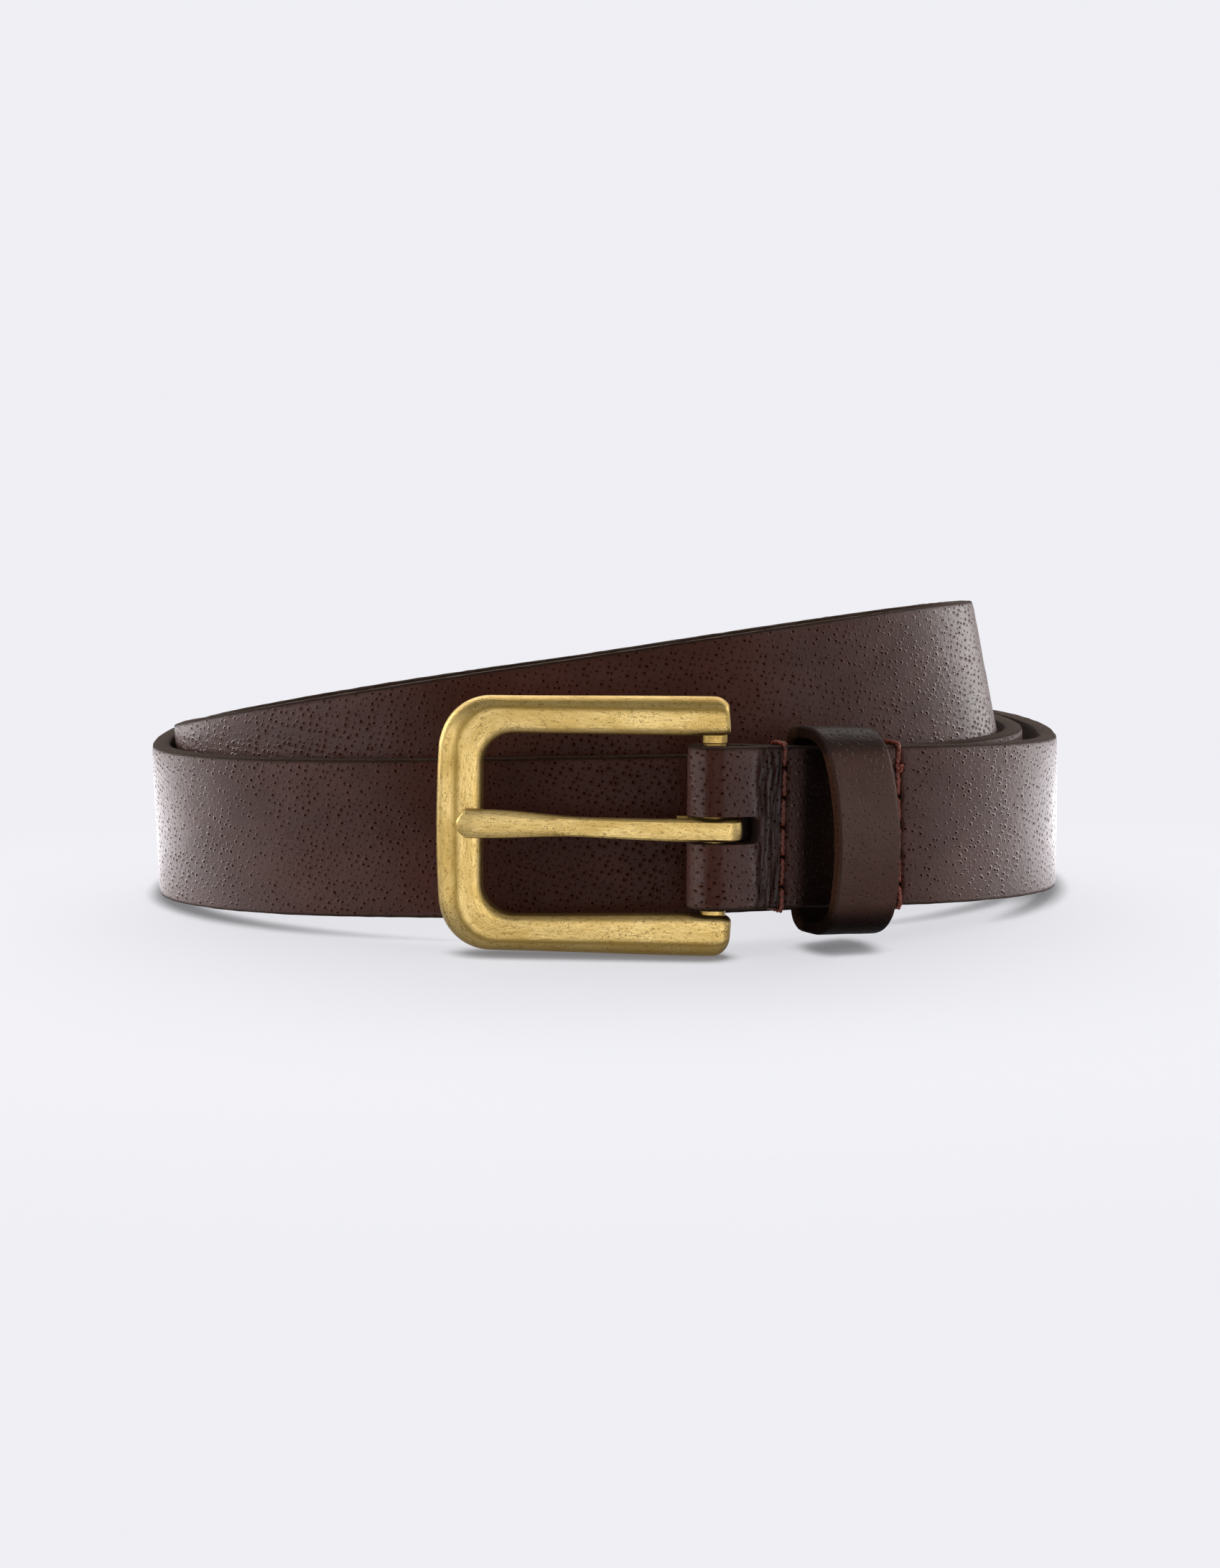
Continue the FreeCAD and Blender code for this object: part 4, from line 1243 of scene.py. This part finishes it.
def make_camera():
    forward = Vector((0, math.cos(CAMERA_LIFT), -math.sin(CAMERA_LIFT)))
    up = Vector((0, math.sin(CAMERA_LIFT), math.cos(CAMERA_LIFT)))
    right = Vector((1, 0, 0)) * math.cos(CAMERA_ROLL) + up * math.sin(CAMERA_ROLL)
    up = forward.cross(right) * -1.0
    camera = show("camera", bpy.data.cameras.new("camera"))
    turn = Matrix((right, up, -forward)).transposed().to_4x4()
    camera.matrix_world = Matrix.Translation(CAMERA_AIM - forward * CAMERA_DISTANCE) @ turn
    camera.data.sensor_fit = "VERTICAL"
    camera.data.sensor_height = SENSOR_HEIGHT
    camera.data.lens = CAMERA_LENS
    bpy.context.scene.camera = camera


def softbox(name, place, aim, size, power, colour=(1, 1, 1)):
    light = show(name, bpy.data.lights.new(name, "AREA"))
    light.data.shape = "RECTANGLE"
    light.data.size, light.data.size_y = size
    light.data.energy = power
    light.data.color = colour
    light.location = place
    light.rotation_euler = (Vector(aim) - Vector(place)).to_track_quat("-Z", "Y").to_euler()
    return light


def make_room():
    """A white table top that fades into the backdrop, the sky light and the softboxes."""
    made, n = material("studio_paper")
    where = n.add("TexCoord").outputs["Object"]
    tint = n.noise(where, 3.0, 2.0)
    n.set("Base Color", n.mix(tint, (0.895, 0.895, 0.915), (0.905, 0.905, 0.925)))
    n.set("Roughness", 0.8)
    n.set("Specular IOR Level", 0.1)
    away = n.add("VectorMath", operation="LENGTH")
    n.link(n.scaled(where, (1.0, 1.25, 1.0)), away.inputs[0])
    fade = n.spread(away.outputs["Value"], 0.13, 0.30)
    glow = n.add("Emission")
    glow.inputs["Color"].default_value = (*BACKDROP, 1.0)
    seen = n.add("LightPath").outputs["Is Camera Ray"]
    depth = n.add("SeparateXYZ")
    n.link(where, depth.inputs[0])
    # Painted reflected light: to other rays the table glows faintly, and behind the belt it glows far
    # brighter in reflections, though it is no lamp.
    mirrored = n.spread(depth.outputs[1], -0.05, 0.07, 0.15, 6.5)
    glossy = n.add("LightPath").outputs["Is Glossy Ray"]
    unseen = n.sums("MULTIPLY_ADD", glossy, mirrored, 0.2)
    power = n.add("Mix", data_type="FLOAT")
    n.link(seen, power.inputs[0])
    n.link(unseen, power.inputs[2])
    # Painted contact shadow: seen directly, the table's glow is darkened by ambient occlusion close to
    # the belt.
    near = n.add("AmbientOcclusion", samples=8)
    near.inputs["Distance"].default_value = 0.005
    n.link(n.spread(near.outputs["AO"], 0.50, 0.90, 0.25, 1.0), power.inputs[3])
    n.link(power.outputs[0], glow.inputs["Strength"])
    lit = n.add("MixShader")
    n.link(n.spread(depth.outputs[1], -0.04, 0.08, 0.72, 1.0), lit.inputs[0])
    n.link(n.shader.outputs[0], lit.inputs[1])
    n.link(glow.outputs[0], lit.inputs[2])
    clear = n.add("BsdfTransparent")
    blend = n.add("MixShader")
    n.put(blend.inputs[0], fade)
    n.link(lit.outputs[0], blend.inputs[1])
    n.link(clear.outputs[0], blend.inputs[2])
    n.link(blend.outputs[0], n.tree.nodes["Material Output"].inputs["Surface"])
    spots = [(0.0, 0.0, 0.0)]
    rounds = 24
    for radius in (0.1, 0.2, 0.31):
        spots += [(radius * math.cos(2 * math.pi * k / rounds),
                   radius * math.sin(2 * math.pi * k / rounds), 0.0) for k in range(rounds)]
    faces = [(0, 1 + k, 1 + (k + 1) % rounds) for k in range(rounds)]
    for ring in (0, 1):
        for k in range(rounds):
            a = 1 + ring * rounds + k
            b = 1 + ring * rounds + (k + 1) % rounds
            faces.append((a, a + rounds, b + rounds, b))
    mesh = bpy.data.meshes.new("table_top")
    mesh.from_pydata(spots, [], faces)
    mesh.materials.append(made)
    table = show("table_top", mesh)
    table.location.z = -0.00005
    world = bpy.data.worlds.new("studio")
    bpy.context.scene.world = world
    n = Nodes(world, "Background")
    towards = n.add("SeparateXYZ")
    n.link(n.add("TexCoord").outputs["Generated"], towards.inputs[0])
    behind = n.spread(towards.outputs[1], -0.10, 0.85, 0.085, 2.6)
    below = n.spread(towards.outputs[2], 0.15, 0.9, 1.0, 0.55)
    above = n.spread(towards.outputs[2], 0.25, 0.85, 0.0, 0.30)
    light = n.sums("MULTIPLY_ADD", behind, below, above)
    light = n.sums("MINIMUM", light, BRIGHTEST_SKY)
    seen = n.add("LightPath").outputs["Is Camera Ray"]
    n.set("Strength", 1.0)
    grey = n.add("CombineColor")
    for k, tint in enumerate((0.97, 0.98, 1.0)):
        n.link(n.times(light, tint), grey.inputs[k])
    n.set("Color", n.mix(seen, grey.outputs[0], BACKDROP))
    softbox("behind_above", (0.0, 0.90, 0.80), (0, 0, 0), (1.6, 0.6), 9.0)
    softbox("left_panel", (-0.75, 0.35, 0.25), (0, 0, 0.03), (0.35, 0.6), 3.5)
    softbox("right_panel", (0.75, 0.35, 0.25), (0, 0, 0.03), (0.35, 0.6), 3.5)
    softbox("left_front", (-0.90, -0.62, 0.16), (0, 0, 0.02), (0.6, 0.45), 2.1)
    softbox("right_front", (0.95, -0.55, 0.16), (0, 0, 0.02), (0.4, 0.45), 1.2)
    for name, x, power in (("left_soft", -0.95, 4.2), ("right_soft", 1.0, 4.2)):
        soft = softbox(name, (x, -0.28, 0.22), (x * 0.08, 0, 0.02), (0.6, 0.5), power)
        soft.visible_glossy = False
    shine = softbox("front_low", (0.14, -1.10, 0.13), (0, 0, 0.02), (0.62, 0.42), 3.6)
    shine.visible_diffuse = False
    bpy.context.scene.view_settings.view_transform = "Standard"


make_camera()
make_room()
